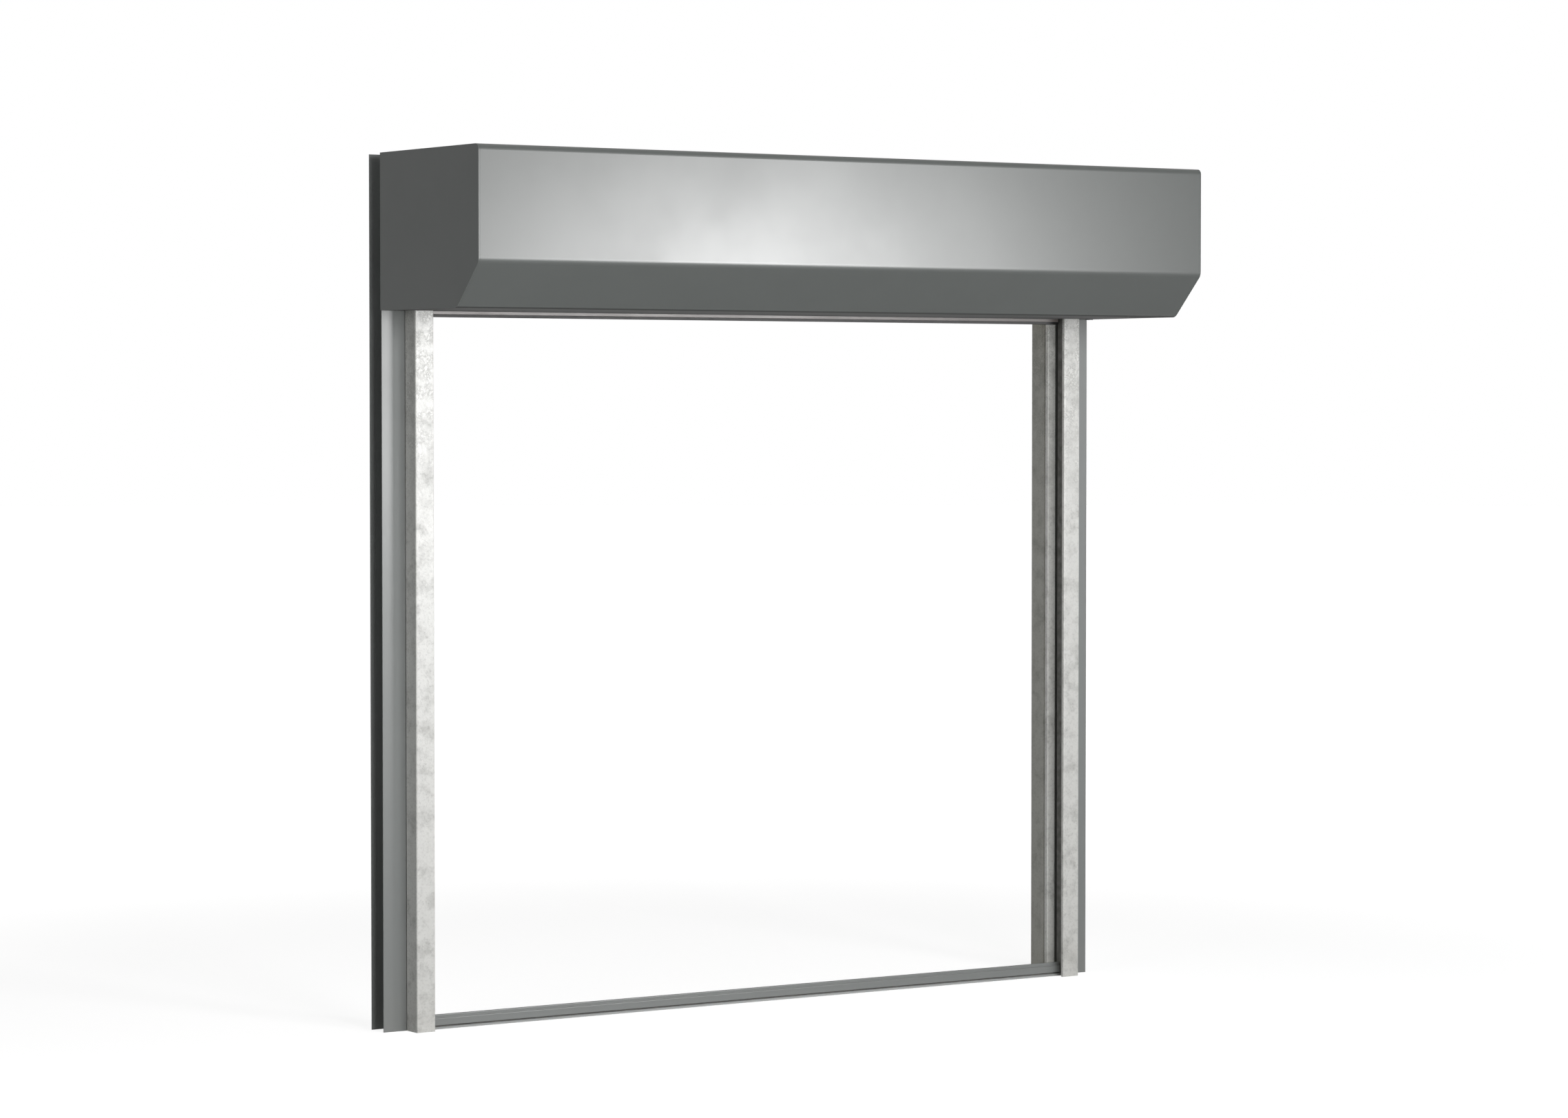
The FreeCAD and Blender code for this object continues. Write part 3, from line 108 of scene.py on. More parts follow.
class Board:
    """Adds and links the nodes of one tree."""

    def __init__(self, tree: bpy.types.NodeTree) -> None:
        """Keeps the tree that the nodes go into.

        Args:
            tree: A shader or geometry tree.
        """
        self.tree = tree

    def add(self, kind: str, **settings: Any) -> bpy.types.Node:
        """Adds a node and sets its options.

        Args:
            kind: Blender's name for the node.
            **settings: Options of the node, by name.

        Returns:
            The new node.
        """
        node = self.tree.nodes.new(kind)
        for name, value in settings.items():
            setattr(node, name, value)
        return node

    def feed(self, socket: bpy.types.NodeSocket, source: Source) -> None:
        """Links a socket to another node's output, or sets its value.

        Args:
            socket: The input to feed.
            source: An output socket, a number, or the numbers of a colour or vector.
        """
        if isinstance(source, bpy.types.NodeSocket):
            self.tree.links.new(source, socket)
        elif socket.type == "RGBA":
            socket.default_value = (*source[:3], 1.0)
        else:
            socket.default_value = source

    def math(self, operation: str, *values: Source, clamp: bool = False) -> bpy.types.NodeSocket:
        """Works out one value from one, two or three others.

        Args:
            operation: Blender's name for the operation.
            *values: Outputs or numbers.
            clamp: Whether the result stays between 0 and 1.

        Returns:
            The output that holds the result.
        """
        node = self.add("ShaderNodeMath", operation=operation, use_clamp=clamp)
        for socket, value in zip(node.inputs, values):
            self.feed(socket, value)
        return node.outputs[0]

    def ranged(self, value: Source, low: Source, high: Source, start: Source = 0.0,
               end: Source = 1.0) -> bpy.types.NodeSocket:
        """Stretches a value from one range to another with soft ends.

        Args:
            value: The value to stretch.
            low: Where the old range starts.
            high: Where the old range ends.
            start: What the low end becomes.
            end: What the high end becomes.

        Returns:
            The output that holds the result.
        """
        node = self.add("ShaderNodeMapRange", interpolation_type="SMOOTHSTEP")
        for name, source in (("Value", value), ("From Min", low), ("From Max", high),
                             ("To Min", start), ("To Max", end)):
            self.feed(node.inputs[name], source)
        return node.outputs["Result"]

    def noise(self, vector: Source, scale: Source, detail: Source = 3.0,
              roughness: float = 0.5) -> bpy.types.NodeSocket:
        """Adds a noise pattern.

        Args:
            vector: Where it is read.
            scale: How fine it is.
            detail: How many finer layers it has.
            roughness: How strong the finer layers are.

        Returns:
            The output that holds its value, from 0 to 1.
        """
        node = self.add("ShaderNodeTexNoise")
        self.feed(node.inputs["Vector"], vector)
        self.feed(node.inputs["Scale"], scale)
        self.feed(node.inputs["Detail"], detail)
        self.feed(node.inputs["Roughness"], roughness)
        return node.outputs["Fac"]

    def blend(self, share: Source, first: Source, second: Source) -> bpy.types.NodeSocket:
        """Mixes two colours.

        Args:
            share: How much of the second colour shows.
            first: The first colour.
            second: The second colour.

        Returns:
            The output that holds the mixed colour.
        """
        node = self.add("ShaderNodeMix", data_type="RGBA")
        inputs = [socket for socket in node.inputs if socket.enabled]
        for socket, source in zip(inputs, (share, first, second)):
            self.feed(socket, source)
        return next(socket for socket in node.outputs if socket.enabled)

    def group(self, tree: bpy.types.NodeTree, **inputs: Source) -> bpy.types.Node:
        """Places a shared group and feeds its inputs.

        Args:
            tree: The group.
            **inputs: Its inputs by name, with an underscore for each space.

        Returns:
            The group node.
        """
        node = self.add("ShaderNodeGroup", node_tree=tree)
        for name, source in inputs.items():
            self.feed(node.inputs[name.replace("_", " ")], source)
        return node

    def place(self) -> bpy.types.NodeSocket:
        """The place of a point in the object's own coordinates."""
        return self.add("ShaderNodeTexCoord").outputs["Object"]

    def along(self, vector: Source, axis: str) -> bpy.types.NodeSocket:
        """Takes one part of a vector.

        Args:
            vector: The vector.
            axis: X, Y or Z.

        Returns:
            The output that holds the part.
        """
        node = self.add("ShaderNodeSeparateXYZ")
        self.feed(node.inputs[0], vector)
        return node.outputs[axis]

    def facing_up(self) -> bpy.types.NodeSocket:
        """How far the surface faces up: 1 is up, 0 is upright and -1 is down."""
        return self.along(self.add("ShaderNodeNewGeometry").outputs["Normal"], "Z")


class Patterns:
    """Shader groups that more than one finish uses, each built when it is first asked for."""

    @staticmethod
    def _new(name: str, inputs: Mapping[str, str], outputs: Sequence[str]) -> tuple[
            bpy.types.NodeTree, Board, bpy.types.Node, bpy.types.Node]:
        """Starts a group.

        Args:
            name: The group's name.
            inputs: The kind of each input, by name.
            outputs: Names of its outputs, which are numbers.

        Returns:
            The tree, a board for it, its input node and its output node.
        """
        tree = bpy.data.node_groups.new(name, "ShaderNodeTree")
        for label, kind in inputs.items():
            tree.interface.new_socket(label, in_out="INPUT", socket_type=kind)
        for label in outputs:
            tree.interface.new_socket(label, in_out="OUTPUT", socket_type="NodeSocketFloat")
        board = Board(tree)
        return tree, board, board.add("NodeGroupInput"), board.add("NodeGroupOutput")

    @classmethod
    def clouds(cls) -> bpy.types.NodeTree:
        """Soft patches: a mask that is 0 between them and 1 in them.

        Returns:
            The group.
        """
        if "soft_clouds" in bpy.data.node_groups:
            return bpy.data.node_groups["soft_clouds"]
        number = "NodeSocketFloat"
        tree, board, given, made = cls._new(
            "soft_clouds",
            {"Vector": "NodeSocketVector", "Scale": number, "Detail": number, "Low": number, "High": number},
            ["Mask"],
        )
        pattern = board.noise(given.outputs["Vector"], given.outputs["Scale"], given.outputs["Detail"], 0.6)
        mask = board.ranged(pattern, given.outputs["Low"], given.outputs["High"])
        board.feed(made.inputs["Mask"], mask)
        return tree

    @classmethod
    def grain(cls) -> bpy.types.NodeTree:
        """The fine, even roughness of a sprayed or moulded surface, as a height.

        Returns:
            The group.
        """
        if "fine_grain" in bpy.data.node_groups:
            return bpy.data.node_groups["fine_grain"]
        tree, board, given, made = cls._new(
            "fine_grain", {"Vector": "NodeSocketVector", "Scale": "NodeSocketFloat"}, ["Height"])
        coarse = board.noise(given.outputs["Vector"], given.outputs["Scale"], 2.0)
        fine_scale = board.math("MULTIPLY", given.outputs["Scale"], 3.7)
        fine = board.noise(given.outputs["Vector"], fine_scale, 1.0)
        board.feed(made.inputs["Height"], board.math("MULTIPLY_ADD", fine, 0.35, coarse))
        return tree

    @classmethod
    def lines(cls) -> bpy.types.NodeTree:
        """Long fine lines, as drawing, rolling or turning leaves them.

        Returns:
            The group.
        """
        if "drawn_lines" in bpy.data.node_groups:
            return bpy.data.node_groups["drawn_lines"]
        tree, board, given, made = cls._new(
            "drawn_lines",
            {"Vector": "NodeSocketVector", "Stretch": "NodeSocketVector", "Scale": "NodeSocketFloat"},
            ["Tone"],
        )
        squeezed = board.add("ShaderNodeVectorMath", operation="MULTIPLY")
        board.feed(squeezed.inputs[0], given.outputs["Vector"])
        board.feed(squeezed.inputs[1], given.outputs["Stretch"])
        board.feed(made.inputs["Tone"], board.noise(squeezed.outputs[0], given.outputs["Scale"], 4.0, 0.6))
        return tree

    @classmethod
    def dust(cls) -> bpy.types.NodeTree:
        """Dust that lies on what faces up and thins out above the floor.

        Returns:
            The group.
        """
        if "settled_dust" in bpy.data.node_groups:
            return bpy.data.node_groups["settled_dust"]
        tree, board, given, made = cls._new(
            "settled_dust",
            {"Vector": "NodeSocketVector", "Reach": "NodeSocketFloat", "Amount": "NodeSocketFloat"},
            ["Mask"],
        )
        height = board.along(given.outputs["Vector"], "Z")
        low = board.ranged(height, 0.0, given.outputs["Reach"], 1.0, 0.0)
        up = board.ranged(board.facing_up(), 0.5, 1.0)
        both = board.math("MAXIMUM", low, board.math("MULTIPLY", up, 0.6))
        patches = board.ranged(board.noise(given.outputs["Vector"], 9.0, 5.0, 0.65), 0.3, 0.75)
        spread = board.math("MULTIPLY", both, board.math("MULTIPLY_ADD", patches, 0.75, 0.25))
        board.feed(made.inputs["Mask"], board.math("MULTIPLY", spread, given.outputs["Amount"], clamp=True))
        return tree


@dataclass(frozen=True)
class Finish:
    """What every finish has: a name, a colour, how rough it is and how strongly it mirrors."""

    name: str
    colour: Colour
    roughness: float
    specular: float = 0.5

    def start(self) -> tuple[bpy.types.Material, Board, bpy.types.Node]:
        """Makes the material with its shader.

        Returns:
            The material, a board for its tree and the shader node.
        """
        material = bpy.data.materials.new(self.name)
        material.use_nodes = True
        board = Board(material.node_tree)
        shader = material.node_tree.nodes["Principled BSDF"]
        board.feed(shader.inputs["Base Color"], self.colour)
        board.feed(shader.inputs["Roughness"], self.roughness)
        board.feed(shader.inputs["Specular IOR Level"], self.specular)
        return material, board, shader

    def darker(self, share: float) -> Colour:
        """The finish's colour at a share of its brightness."""
        return self.colour[0] * share, self.colour[1] * share, self.colour[2] * share

    @staticmethod
    def roughen(board: Board, shader: bpy.types.Node, height: Source, strength: float, depth: float) -> None:
        """Gives the surface a relief.

        Args:
            board: The board of the material's tree.
            shader: The shader node.
            height: The relief's height, from 0 to 1.
            strength: How strongly it shows.
            depth: How deep it is, in metres.
        """
        bump = board.add("ShaderNodeBump")
        board.feed(bump.inputs["Strength"], strength)
        board.feed(bump.inputs["Distance"], depth)
        board.feed(bump.inputs["Height"], height)
        board.feed(shader.inputs["Normal"], bump.outputs["Normal"])

    @functools.cache
    def material(self) -> bpy.types.Material:
        """The material, built once."""
        return self.build()

    def build(self) -> bpy.types.Material:
        """Builds the material; each kind of finish has its own way."""
        raise NotImplementedError


@dataclass(frozen=True)
class Paint(Finish):
    """Powder coat on sheet: nearly even, with a faint orange peel, a little dust and painted shade on faces
    that face down.
    """

    peel: float = 0.00004
    dust: float = 0.25

    def build(self) -> bpy.types.Material:
        """Builds the material.

        Returns:
            The material.
        """
        material, board, shader = self.start()
        place = board.place()
        patches = board.group(Patterns.clouds(), Vector=place, Scale=1.7, Detail=4.0, Low=0.3, High=0.7)
        coat = board.blend(patches.outputs["Mask"], self.colour, self.darker(0.93))
        # Painted shade: faces that face down are darkened towards near black, and made rougher.
        underside_shade = board.ranged(board.facing_up(), -0.8, -0.97)
        coat = board.blend(board.math("MULTIPLY", underside_shade, 0.9), coat, UNDERSIDE_SHADE)
        dust = board.group(Patterns.dust(), Vector=place, Reach=0.35, Amount=self.dust)
        board.feed(shader.inputs["Base Color"], board.blend(dust.outputs["Mask"], coat, DUST))
        rough = board.math("MULTIPLY_ADD", patches.outputs["Mask"], 0.04, self.roughness)
        rough = board.math("MULTIPLY_ADD", dust.outputs["Mask"], 0.3, rough)
        board.feed(shader.inputs["Roughness"], board.math("MULTIPLY_ADD", underside_shade, 0.5, rough, clamp=True))
        grain = board.group(Patterns.grain(), Vector=place, Scale=420.0)
        self.roughen(board, shader, grain.outputs["Height"], 0.35, self.peel)
        return material


@dataclass(frozen=True)
class Zinc(Finish):
    """Hot-dip galvanising: pale metal with grey clouds, specks and curls.

    Where its limits across and ahead are set, painted shade darkens the zinc beyond the first to both sides
    and ahead of the second, in the recess of the guide's slot.
    """

    cloud: Colour = (0.3, 0.3, 0.3)
    metallic: float = 0.3
    cloud_scale: float = 16.0
    speck_scale: float = 130.0
    crust: float = 0.0008
    shade_x: float = 0.0
    shade_y: float = 0.0
    shade_edge: float = 0.0004
    shade_fade: float = 0.004

    def build(self) -> bpy.types.Material:
        """Builds the material.

        Returns:
            The material.
        """
        material, board, shader = self.start()
        place = board.place()
        clouds = board.group(Patterns.clouds(), Vector=place, Scale=self.cloud_scale, Detail=6.0,
                             Low=0.42, High=0.76)
        specks = board.group(Patterns.clouds(), Vector=place, Scale=self.speck_scale, Detail=3.0,
                             Low=0.46, High=0.68)
        marks = board.math("MULTIPLY_ADD", specks.outputs["Mask"], 0.28,
                           board.math("MULTIPLY", clouds.outputs["Mask"], 0.65), clamp=True)
        marks = board.math("MAXIMUM", marks, self.veins(board, place))
        tone = board.blend(marks, self.colour, self.cloud)
        dust = board.group(Patterns.dust(), Vector=place, Reach=0.3, Amount=0.22)
        tone = board.blend(dust.outputs["Mask"], tone, DUST)
        # Painted shade in the recess of the guide's slot, where the zinc is darkened.
        if self.shade_x:
            tone = board.blend(self.slot_shade(board, place), tone, SLOT_SHADE)
        board.feed(shader.inputs["Base Color"], tone)
        board.feed(shader.inputs["Roughness"], board.math("MULTIPLY_ADD", marks, 0.2, self.roughness))
        squiggles = board.noise(place, 0.9 * self.speck_scale, 4.0, 0.65)
        self.roughen(board, shader, squiggles, 0.8, self.crust)
        board.feed(shader.inputs["Metallic"], self.metallic)
        return material

    def veins(self, board: Board, place: bpy.types.NodeSocket) -> bpy.types.NodeSocket:
        """Thin curls where the zinc froze last; towards the top of a long part they grow crisper, which is
        painted sheen standing in for the glint that shows them there.

        Args:
            board: The board of the material's tree.
            place: The place of a point.

        Returns:
            A mask that is 1 in the curls.
        """
        pattern = board.noise(place, 0.6 * self.speck_scale, 8.0, 0.78)
        off = board.math("ABSOLUTE", board.math("SUBTRACT", pattern, 0.5))
        curls = board.ranged(off, 0.0, 0.06, 1.0, 0.0)
        clumps = board.ranged(board.noise(place, 0.2 * self.speck_scale, 3.0), 0.38, 0.58, 0.3, 1.0)
        # Painted sheen: the curls grow stronger with height, standing in for the glint near the top.
        crisp_in_sheen = board.ranged(board.along(place, "Z"), 1.5, 2.3, 0.1, 0.95)
        return board.math("MULTIPLY", board.math("MULTIPLY", curls, clumps), crisp_in_sheen)

    def slot_shade(self, board: Board, place: bpy.types.NodeSocket) -> bpy.types.NodeSocket:
        """Where the painted shade of the slot's recess lies.

        Args:
            board: The board of the material's tree.
            place: The place of a point.

        Returns:
            A mask that is 1 in the painted shade.
        """
        across = board.math("ABSOLUTE", board.along(place, "X"))
        out = board.ranged(across, self.shade_x - self.shade_edge, self.shade_x)
        ahead = board.ranged(board.along(place, "Y"), self.shade_y - self.shade_fade, self.shade_y, 1.0, 0.0)
        # The painted shade is patchy.
        patchy_shade = board.ranged(board.noise(place, 30.0, 4.0), 0.3, 0.7, 1.0, 0.85)
        return board.math("MULTIPLY", board.math("MULTIPLY", out, ahead), patchy_shade)


@dataclass(frozen=True)
class DrawnMetal(Finish):
    """Bare metal with the fine lines of drawing or turning."""

    metallic: float = 0.85
    stretch: Triple = (0.02, 1.0, 1.0)
    scale: float = 900.0
    contrast: float = 0.25
    groove: float = 0.00003

    def build(self) -> bpy.types.Material:
        """Builds the material.

        Returns:
            The material.
        """
        material, board, shader = self.start()
        place = board.place()
        lines = board.group(Patterns.lines(), Vector=place, Stretch=self.stretch, Scale=self.scale)
        stain = board.group(Patterns.clouds(), Vector=place, Scale=6.0, Detail=5.0, Low=0.35, High=0.75)
        tone = board.blend(lines.outputs["Tone"], self.colour, self.darker(1 - self.contrast))
        stained = board.math("MULTIPLY", stain.outputs["Mask"], 0.4)
        board.feed(shader.inputs["Base Color"], board.blend(stained, tone, self.darker(0.82)))
        rough = board.math("MULTIPLY_ADD", lines.outputs["Tone"], 0.12, self.roughness)
        board.feed(shader.inputs["Roughness"], board.math("MULTIPLY_ADD", stain.outputs["Mask"], 0.08, rough))
        self.roughen(board, shader, lines.outputs["Tone"], 0.3, self.groove)
        board.feed(shader.inputs["Metallic"], self.metallic)
        return material


@dataclass(frozen=True)
class Moulded(Finish):
    """Rubber, plastic or casting: one colour with a grain, scuffs and settled dust."""

    grain: float = 600.0
    depth: float = 0.0001
    dust: float = 0.35
    metallic: float = 0.0

    def build(self) -> bpy.types.Material:
        """Builds the material.

        Returns:
            The material.
        """
        material, board, shader = self.start()
        place = board.place()
        scuffs = board.group(Patterns.clouds(), Vector=place, Scale=38.0, Detail=6.0, Low=0.48, High=0.78)
        scuffed = tuple(min(1.0, level * 1.5 + 0.01) for level in self.colour)
        tone = board.blend(board.math("MULTIPLY", scuffs.outputs["Mask"], 0.6), self.colour, scuffed)
        dust = board.group(Patterns.dust(), Vector=place, Reach=0.25, Amount=self.dust)
        board.feed(shader.inputs["Base Color"], board.blend(dust.outputs["Mask"], tone, DARK_DUST))
        rough = board.math("MULTIPLY_ADD", scuffs.outputs["Mask"], 0.12, self.roughness)
        board.feed(shader.inputs["Roughness"], rough)
        grain = board.group(Patterns.grain(), Vector=place, Scale=self.grain)
        self.roughen(board, shader, grain.outputs["Height"], 0.5, self.depth)
        board.feed(shader.inputs["Metallic"], self.metallic)
        return material


HOOD_PAINT = Paint("hood_paint", linear(104, 108, 106), 0.38, dust=0.12, specular=0.3)
# The frame's paint is the hood's paint at a lighter tone; the extra lightness is painted light on the
# flanges.
LIT_FRAME_PAINT = Paint("frame_paint", linear(150, 153, 152), 0.4, dust=0.1, specular=0.3)
SILL_PAINT = Paint("sill_paint", linear(152, 155, 154), 0.4, dust=0.03, specular=0.3)
LINTEL_PAINT = Paint("lintel_paint", linear(176, 178, 176), 0.5, dust=0.1)
MOTOR_PAINT = Paint("motor_paint", linear(48, 49, 52), 0.38, dust=0.1)
GALVANISED = Zinc("galvanised", linear(246, 246, 242), 0.42, cloud=linear(184, 184, 179), metallic=0.0)
# The liner's zinc carries painted shade in the recess of its slot.
LINER_ZINC = Zinc("liner_zinc", linear(246, 246, 242), 0.42, cloud=linear(184, 184, 179), metallic=0.0,
                  shade_x=1.3665, shade_y=0.014)
# The reveal posts' zinc is the galvanised zinc at a darker tone; the darkening is painted shade on the posts
# deeper in the opening.
SHADED_REVEAL_ZINC = Zinc("reveal_zinc", linear(194, 194, 187), 0.5, specular=0.3, cloud=linear(150, 150, 143),
                   metallic=0.0)
PLATED = Zinc("plated_fastener", linear(200, 203, 206), 0.32, cloud=linear(160, 160, 158),
              metallic=0.9, cloud_scale=90.0, speck_scale=700.0, crust=0.00003)
RAIL_ALUMINIUM = DrawnMetal("rail_aluminium", linear(170, 162, 159), 0.42, metallic=0.0)
SILL_ALUMINIUM = DrawnMetal("sill_aluminium", linear(184, 186, 185), 0.42, specular=0.3, metallic=0.3)
SLAT_COAT = Paint("slat_coat", linear(158, 158, 155), 0.4, dust=0.1)
SHAFT_STEEL = DrawnMetal("shaft_steel", linear(176, 178, 180), 0.28, metallic=1.0, stretch=(1.0, 0.04, 0.04))
PLATE_STEEL = Zinc("plate_steel", linear(150, 152, 154), 0.45, cloud=linear(112, 114, 116), metallic=0.7,
                   crust=0.0001)
CAST_IRON = Moulded("cast_iron", linear(62, 65, 68), 0.55, grain=240.0, depth=0.0005, metallic=0.5)
RUBBER = Moulded("rubber", linear(34, 34, 35), 0.7, grain=500.0)
LINING = Moulded("groove_lining", linear(92, 92, 88), 0.6, grain=900.0, depth=0.00004)
DARK_PLASTIC = Moulded("dark_plastic", linear(36, 36, 38), 0.5, grain=900.0, depth=0.00004)
BRISTLE = Moulded("bristle", linear(30, 30, 31), 0.6, grain=1500.0, dust=0.5)
INSULATION = Moulded("insulation", linear(204, 190, 140), 0.9, grain=160.0, depth=0.0012, dust=0.0)


def dress(node: bpy.types.Object, finish: Finish) -> None:
    """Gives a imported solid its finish.

    Args:
        node: The solid's object.
        finish: The finish for all its faces.
    """
    material = finish.material()
    if not node.material_slots:
        node.data.materials.append(material)
    for slot in node.material_slots:
        slot.material = material


def report(piece: bpy.types.Object) -> None:
    """Logs a finished piece with its number of triangles."""
    count = sum(len(face.vertices) - 2 for face in piece.data.polygons)
    LOG.info("%s: %d triangles", piece.name, count)


class GeometryTree:
    """A geometry tree with named inputs, which makes one mesh and is then done with."""

    def __init__(self, name: str, sizes: Mapping[str, Union[float, int]]) -> None:
        """Starts the tree.

        Args:
            name: The tree's name.
            sizes: Its inputs by name: whole numbers are counts and the others are metres.
        """
        self.tree = bpy.data.node_groups.new(name, "GeometryNodeTree")
        self.sizes = sizes
        self.tree.interface.new_socket("Seed", in_out="INPUT", socket_type="NodeSocketGeometry")
        for label, value in sizes.items():
            kind = "NodeSocketInt" if isinstance(value, int) else "NodeSocketFloat"
            self.tree.interface.new_socket(label, in_out="INPUT", socket_type=kind)
        self.tree.interface.new_socket("Finish", in_out="INPUT", socket_type="NodeSocketMaterial")
        self.tree.interface.new_socket("Geometry", in_out="OUTPUT", socket_type="NodeSocketGeometry")
        self.board = Board(self.tree)
        self.given = self.board.add("NodeGroupInput").outputs
        self.made = self.board.add("NodeGroupOutput").inputs["Geometry"]

    def vector(self, x: Source = 0.0, y: Source = 0.0, z: Source = 0.0) -> bpy.types.NodeSocket:
        """Puts three values together.

        Args:
            x: The part along X.
            y: The part along Y.
            z: The part along Z.

        Returns:
            The output that holds the vector.
        """
        node = self.board.add("ShaderNodeCombineXYZ")
        for socket, value in zip(node.inputs, (x, y, z)):
            self.board.feed(socket, value)
        return node.outputs[0]

    def drawn(self, half_width: Source, profile: bpy.types.NodeSocket) -> bpy.types.NodeSocket:
        """Draws a profile along X, with closed ends.

        Args:
            half_width: How far it reaches to each side.
            profile: The profile's curve.

        Returns:
            The mesh.
        """
        line = self.board.add("GeometryNodeCurvePrimitiveLine")
        self.board.feed(line.inputs["Start"], self.vector(self.board.math("MULTIPLY", half_width, -1.0)))
        self.board.feed(line.inputs["End"], self.vector(half_width))
        mesh = self.board.add("GeometryNodeCurveToMesh")
        self.board.feed(mesh.inputs["Curve"], line.outputs["Curve"])
        self.board.feed(mesh.inputs["Profile Curve"], profile)
        self.board.feed(mesh.inputs["Fill Caps"], True)
        return mesh.outputs["Mesh"]

    def bar(self, half_width: Source, depth: Source, height: Source, corner: Source) -> bpy.types.NodeSocket:
        """Makes a bar along X with rounded long edges.

        Args:
            half_width: How far it reaches to each side.
            depth: Its size along Y.
            height: Its size along Z.
            corner: The radius of its long edges.

        Returns:
            The mesh.
        """
        outline = self.board.add("GeometryNodeCurvePrimitiveQuadrilateral", mode="RECTANGLE")
        self.board.feed(outline.inputs["Width"], depth)
        self.board.feed(outline.inputs["Height"], height)
        rounded = self.board.add("GeometryNodeFilletCurve", mode="POLY")
        self.board.feed(rounded.inputs["Curve"], outline.outputs["Curve"])
        self.board.feed(rounded.inputs["Radius"], corner)
        self.board.feed(rounded.inputs["Count"], 4)
        return self.drawn(half_width, rounded.outputs["Curve"])

    def moved(self, geometry: bpy.types.NodeSocket, way: bpy.types.NodeSocket) -> bpy.types.NodeSocket:
        """Moves a geometry along a vector.

        Args:
            geometry: The geometry.
            way: How far and which way it goes.

        Returns:
            The moved geometry.
        """
        node = self.board.add("GeometryNodeTransform")
        self.board.feed(node.inputs["Geometry"], geometry)
        self.board.feed(node.inputs["Translation"], way)
        return node.outputs["Geometry"]

    def joined(self, *parts: bpy.types.NodeSocket) -> bpy.types.NodeSocket:
        """Joins geometries into one.

        Args:
            *parts: The geometries.

        Returns:
            The joined geometry.
        """
        node = self.board.add("GeometryNodeJoinGeometry")
        for part in parts:
            self.board.feed(node.inputs["Geometry"], part)
        return node.outputs["Geometry"]

    def row(self, count: Source, first: bpy.types.NodeSocket,
            step: bpy.types.NodeSocket) -> bpy.types.NodeSocket:
        """Lays points out in a row.

        Args:
            count: How many.
            first: The place of the first.
            step: The way from each to the next.

        Returns:
            The points.
        """
        line = self.board.add("GeometryNodeMeshLine", mode="OFFSET", count_mode="TOTAL")
        self.board.feed(line.inputs["Count"], count)
        self.board.feed(line.inputs["Start Location"], first)
        self.board.feed(line.inputs["Offset"], step)
        return line.outputs["Mesh"]

    def copies(self, points: bpy.types.NodeSocket, shape: bpy.types.NodeSocket,
               lean: float = 0.0) -> bpy.types.NodeSocket:
        """Puts a copy of a shape on each point.

        Args:
            points: The points.
            shape: The shape, at the origin.
            lean: How far a copy may lean at random, in radians.

        Returns:
            The copies.
        """
        node = self.board.add("GeometryNodeInstanceOnPoints")
        self.board.feed(node.inputs["Points"], points)
        self.board.feed(node.inputs["Instance"], shape)
        if lean:
            spread = self.board.add("FunctionNodeRandomValue", data_type="FLOAT_VECTOR")
            ends = [socket for socket in spread.inputs if socket.enabled]
            self.board.feed(ends[0], (-lean,) * 3)
            self.board.feed(ends[1], (lean,) * 3)
            turned = next(socket for socket in spread.outputs if socket.enabled)
            self.board.feed(node.inputs["Rotation"], turned)
        return node.outputs["Instances"]

    def close(self, geometry: bpy.types.NodeSocket) -> None:
        """Ends the tree: what was instanced becomes mesh, and the mesh gets its finish.

        Args:
            geometry: The geometry that the tree has made so far.
        """
        real = self.board.add("GeometryNodeRealizeInstances")
        self.board.feed(real.inputs["Geometry"], geometry)
        finish = self.board.add("GeometryNodeSetMaterial")
        self.board.feed(finish.inputs["Geometry"], real.outputs["Geometry"])
        self.board.feed(finish.inputs["Material"], self.given["Finish"])
        self.board.feed(self.made, finish.outputs["Geometry"])

    def piece(self, name: str, finish: Finish, seed: Union[bpy.types.Mesh, None] = None) -> bpy.types.Object:
        """Runs the tree and keeps what it makes as a plain mesh.

        Args:
            name: The piece's name.
            finish: Its finish.
            seed: The mesh that the tree starts from, if it needs one.

        Returns:
            The new object, at the origin.
        """
        seed = seed or bpy.data.meshes.new(name + "_seed")
        holder = bpy.data.objects.new(name, seed)
        bpy.context.scene.collection.objects.link(holder)
        modifier = holder.modifiers.new("make", "NODES")
        modifier.node_group = self.tree
        for item in self.tree.interface.items_tree:
            if item.in_out == "INPUT" and item.name != "Seed":
                value = finish.material() if item.name == "Finish" else self.sizes[item.name]
                modifier[item.identifier] = value
        graph = bpy.context.evaluated_depsgraph_get()
        mesh = bpy.data.meshes.new_from_object(holder.evaluated_get(graph))
        holder.modifiers.clear()
        holder.data = mesh
        bpy.data.meshes.remove(seed)
        mesh.name = name
        return holder


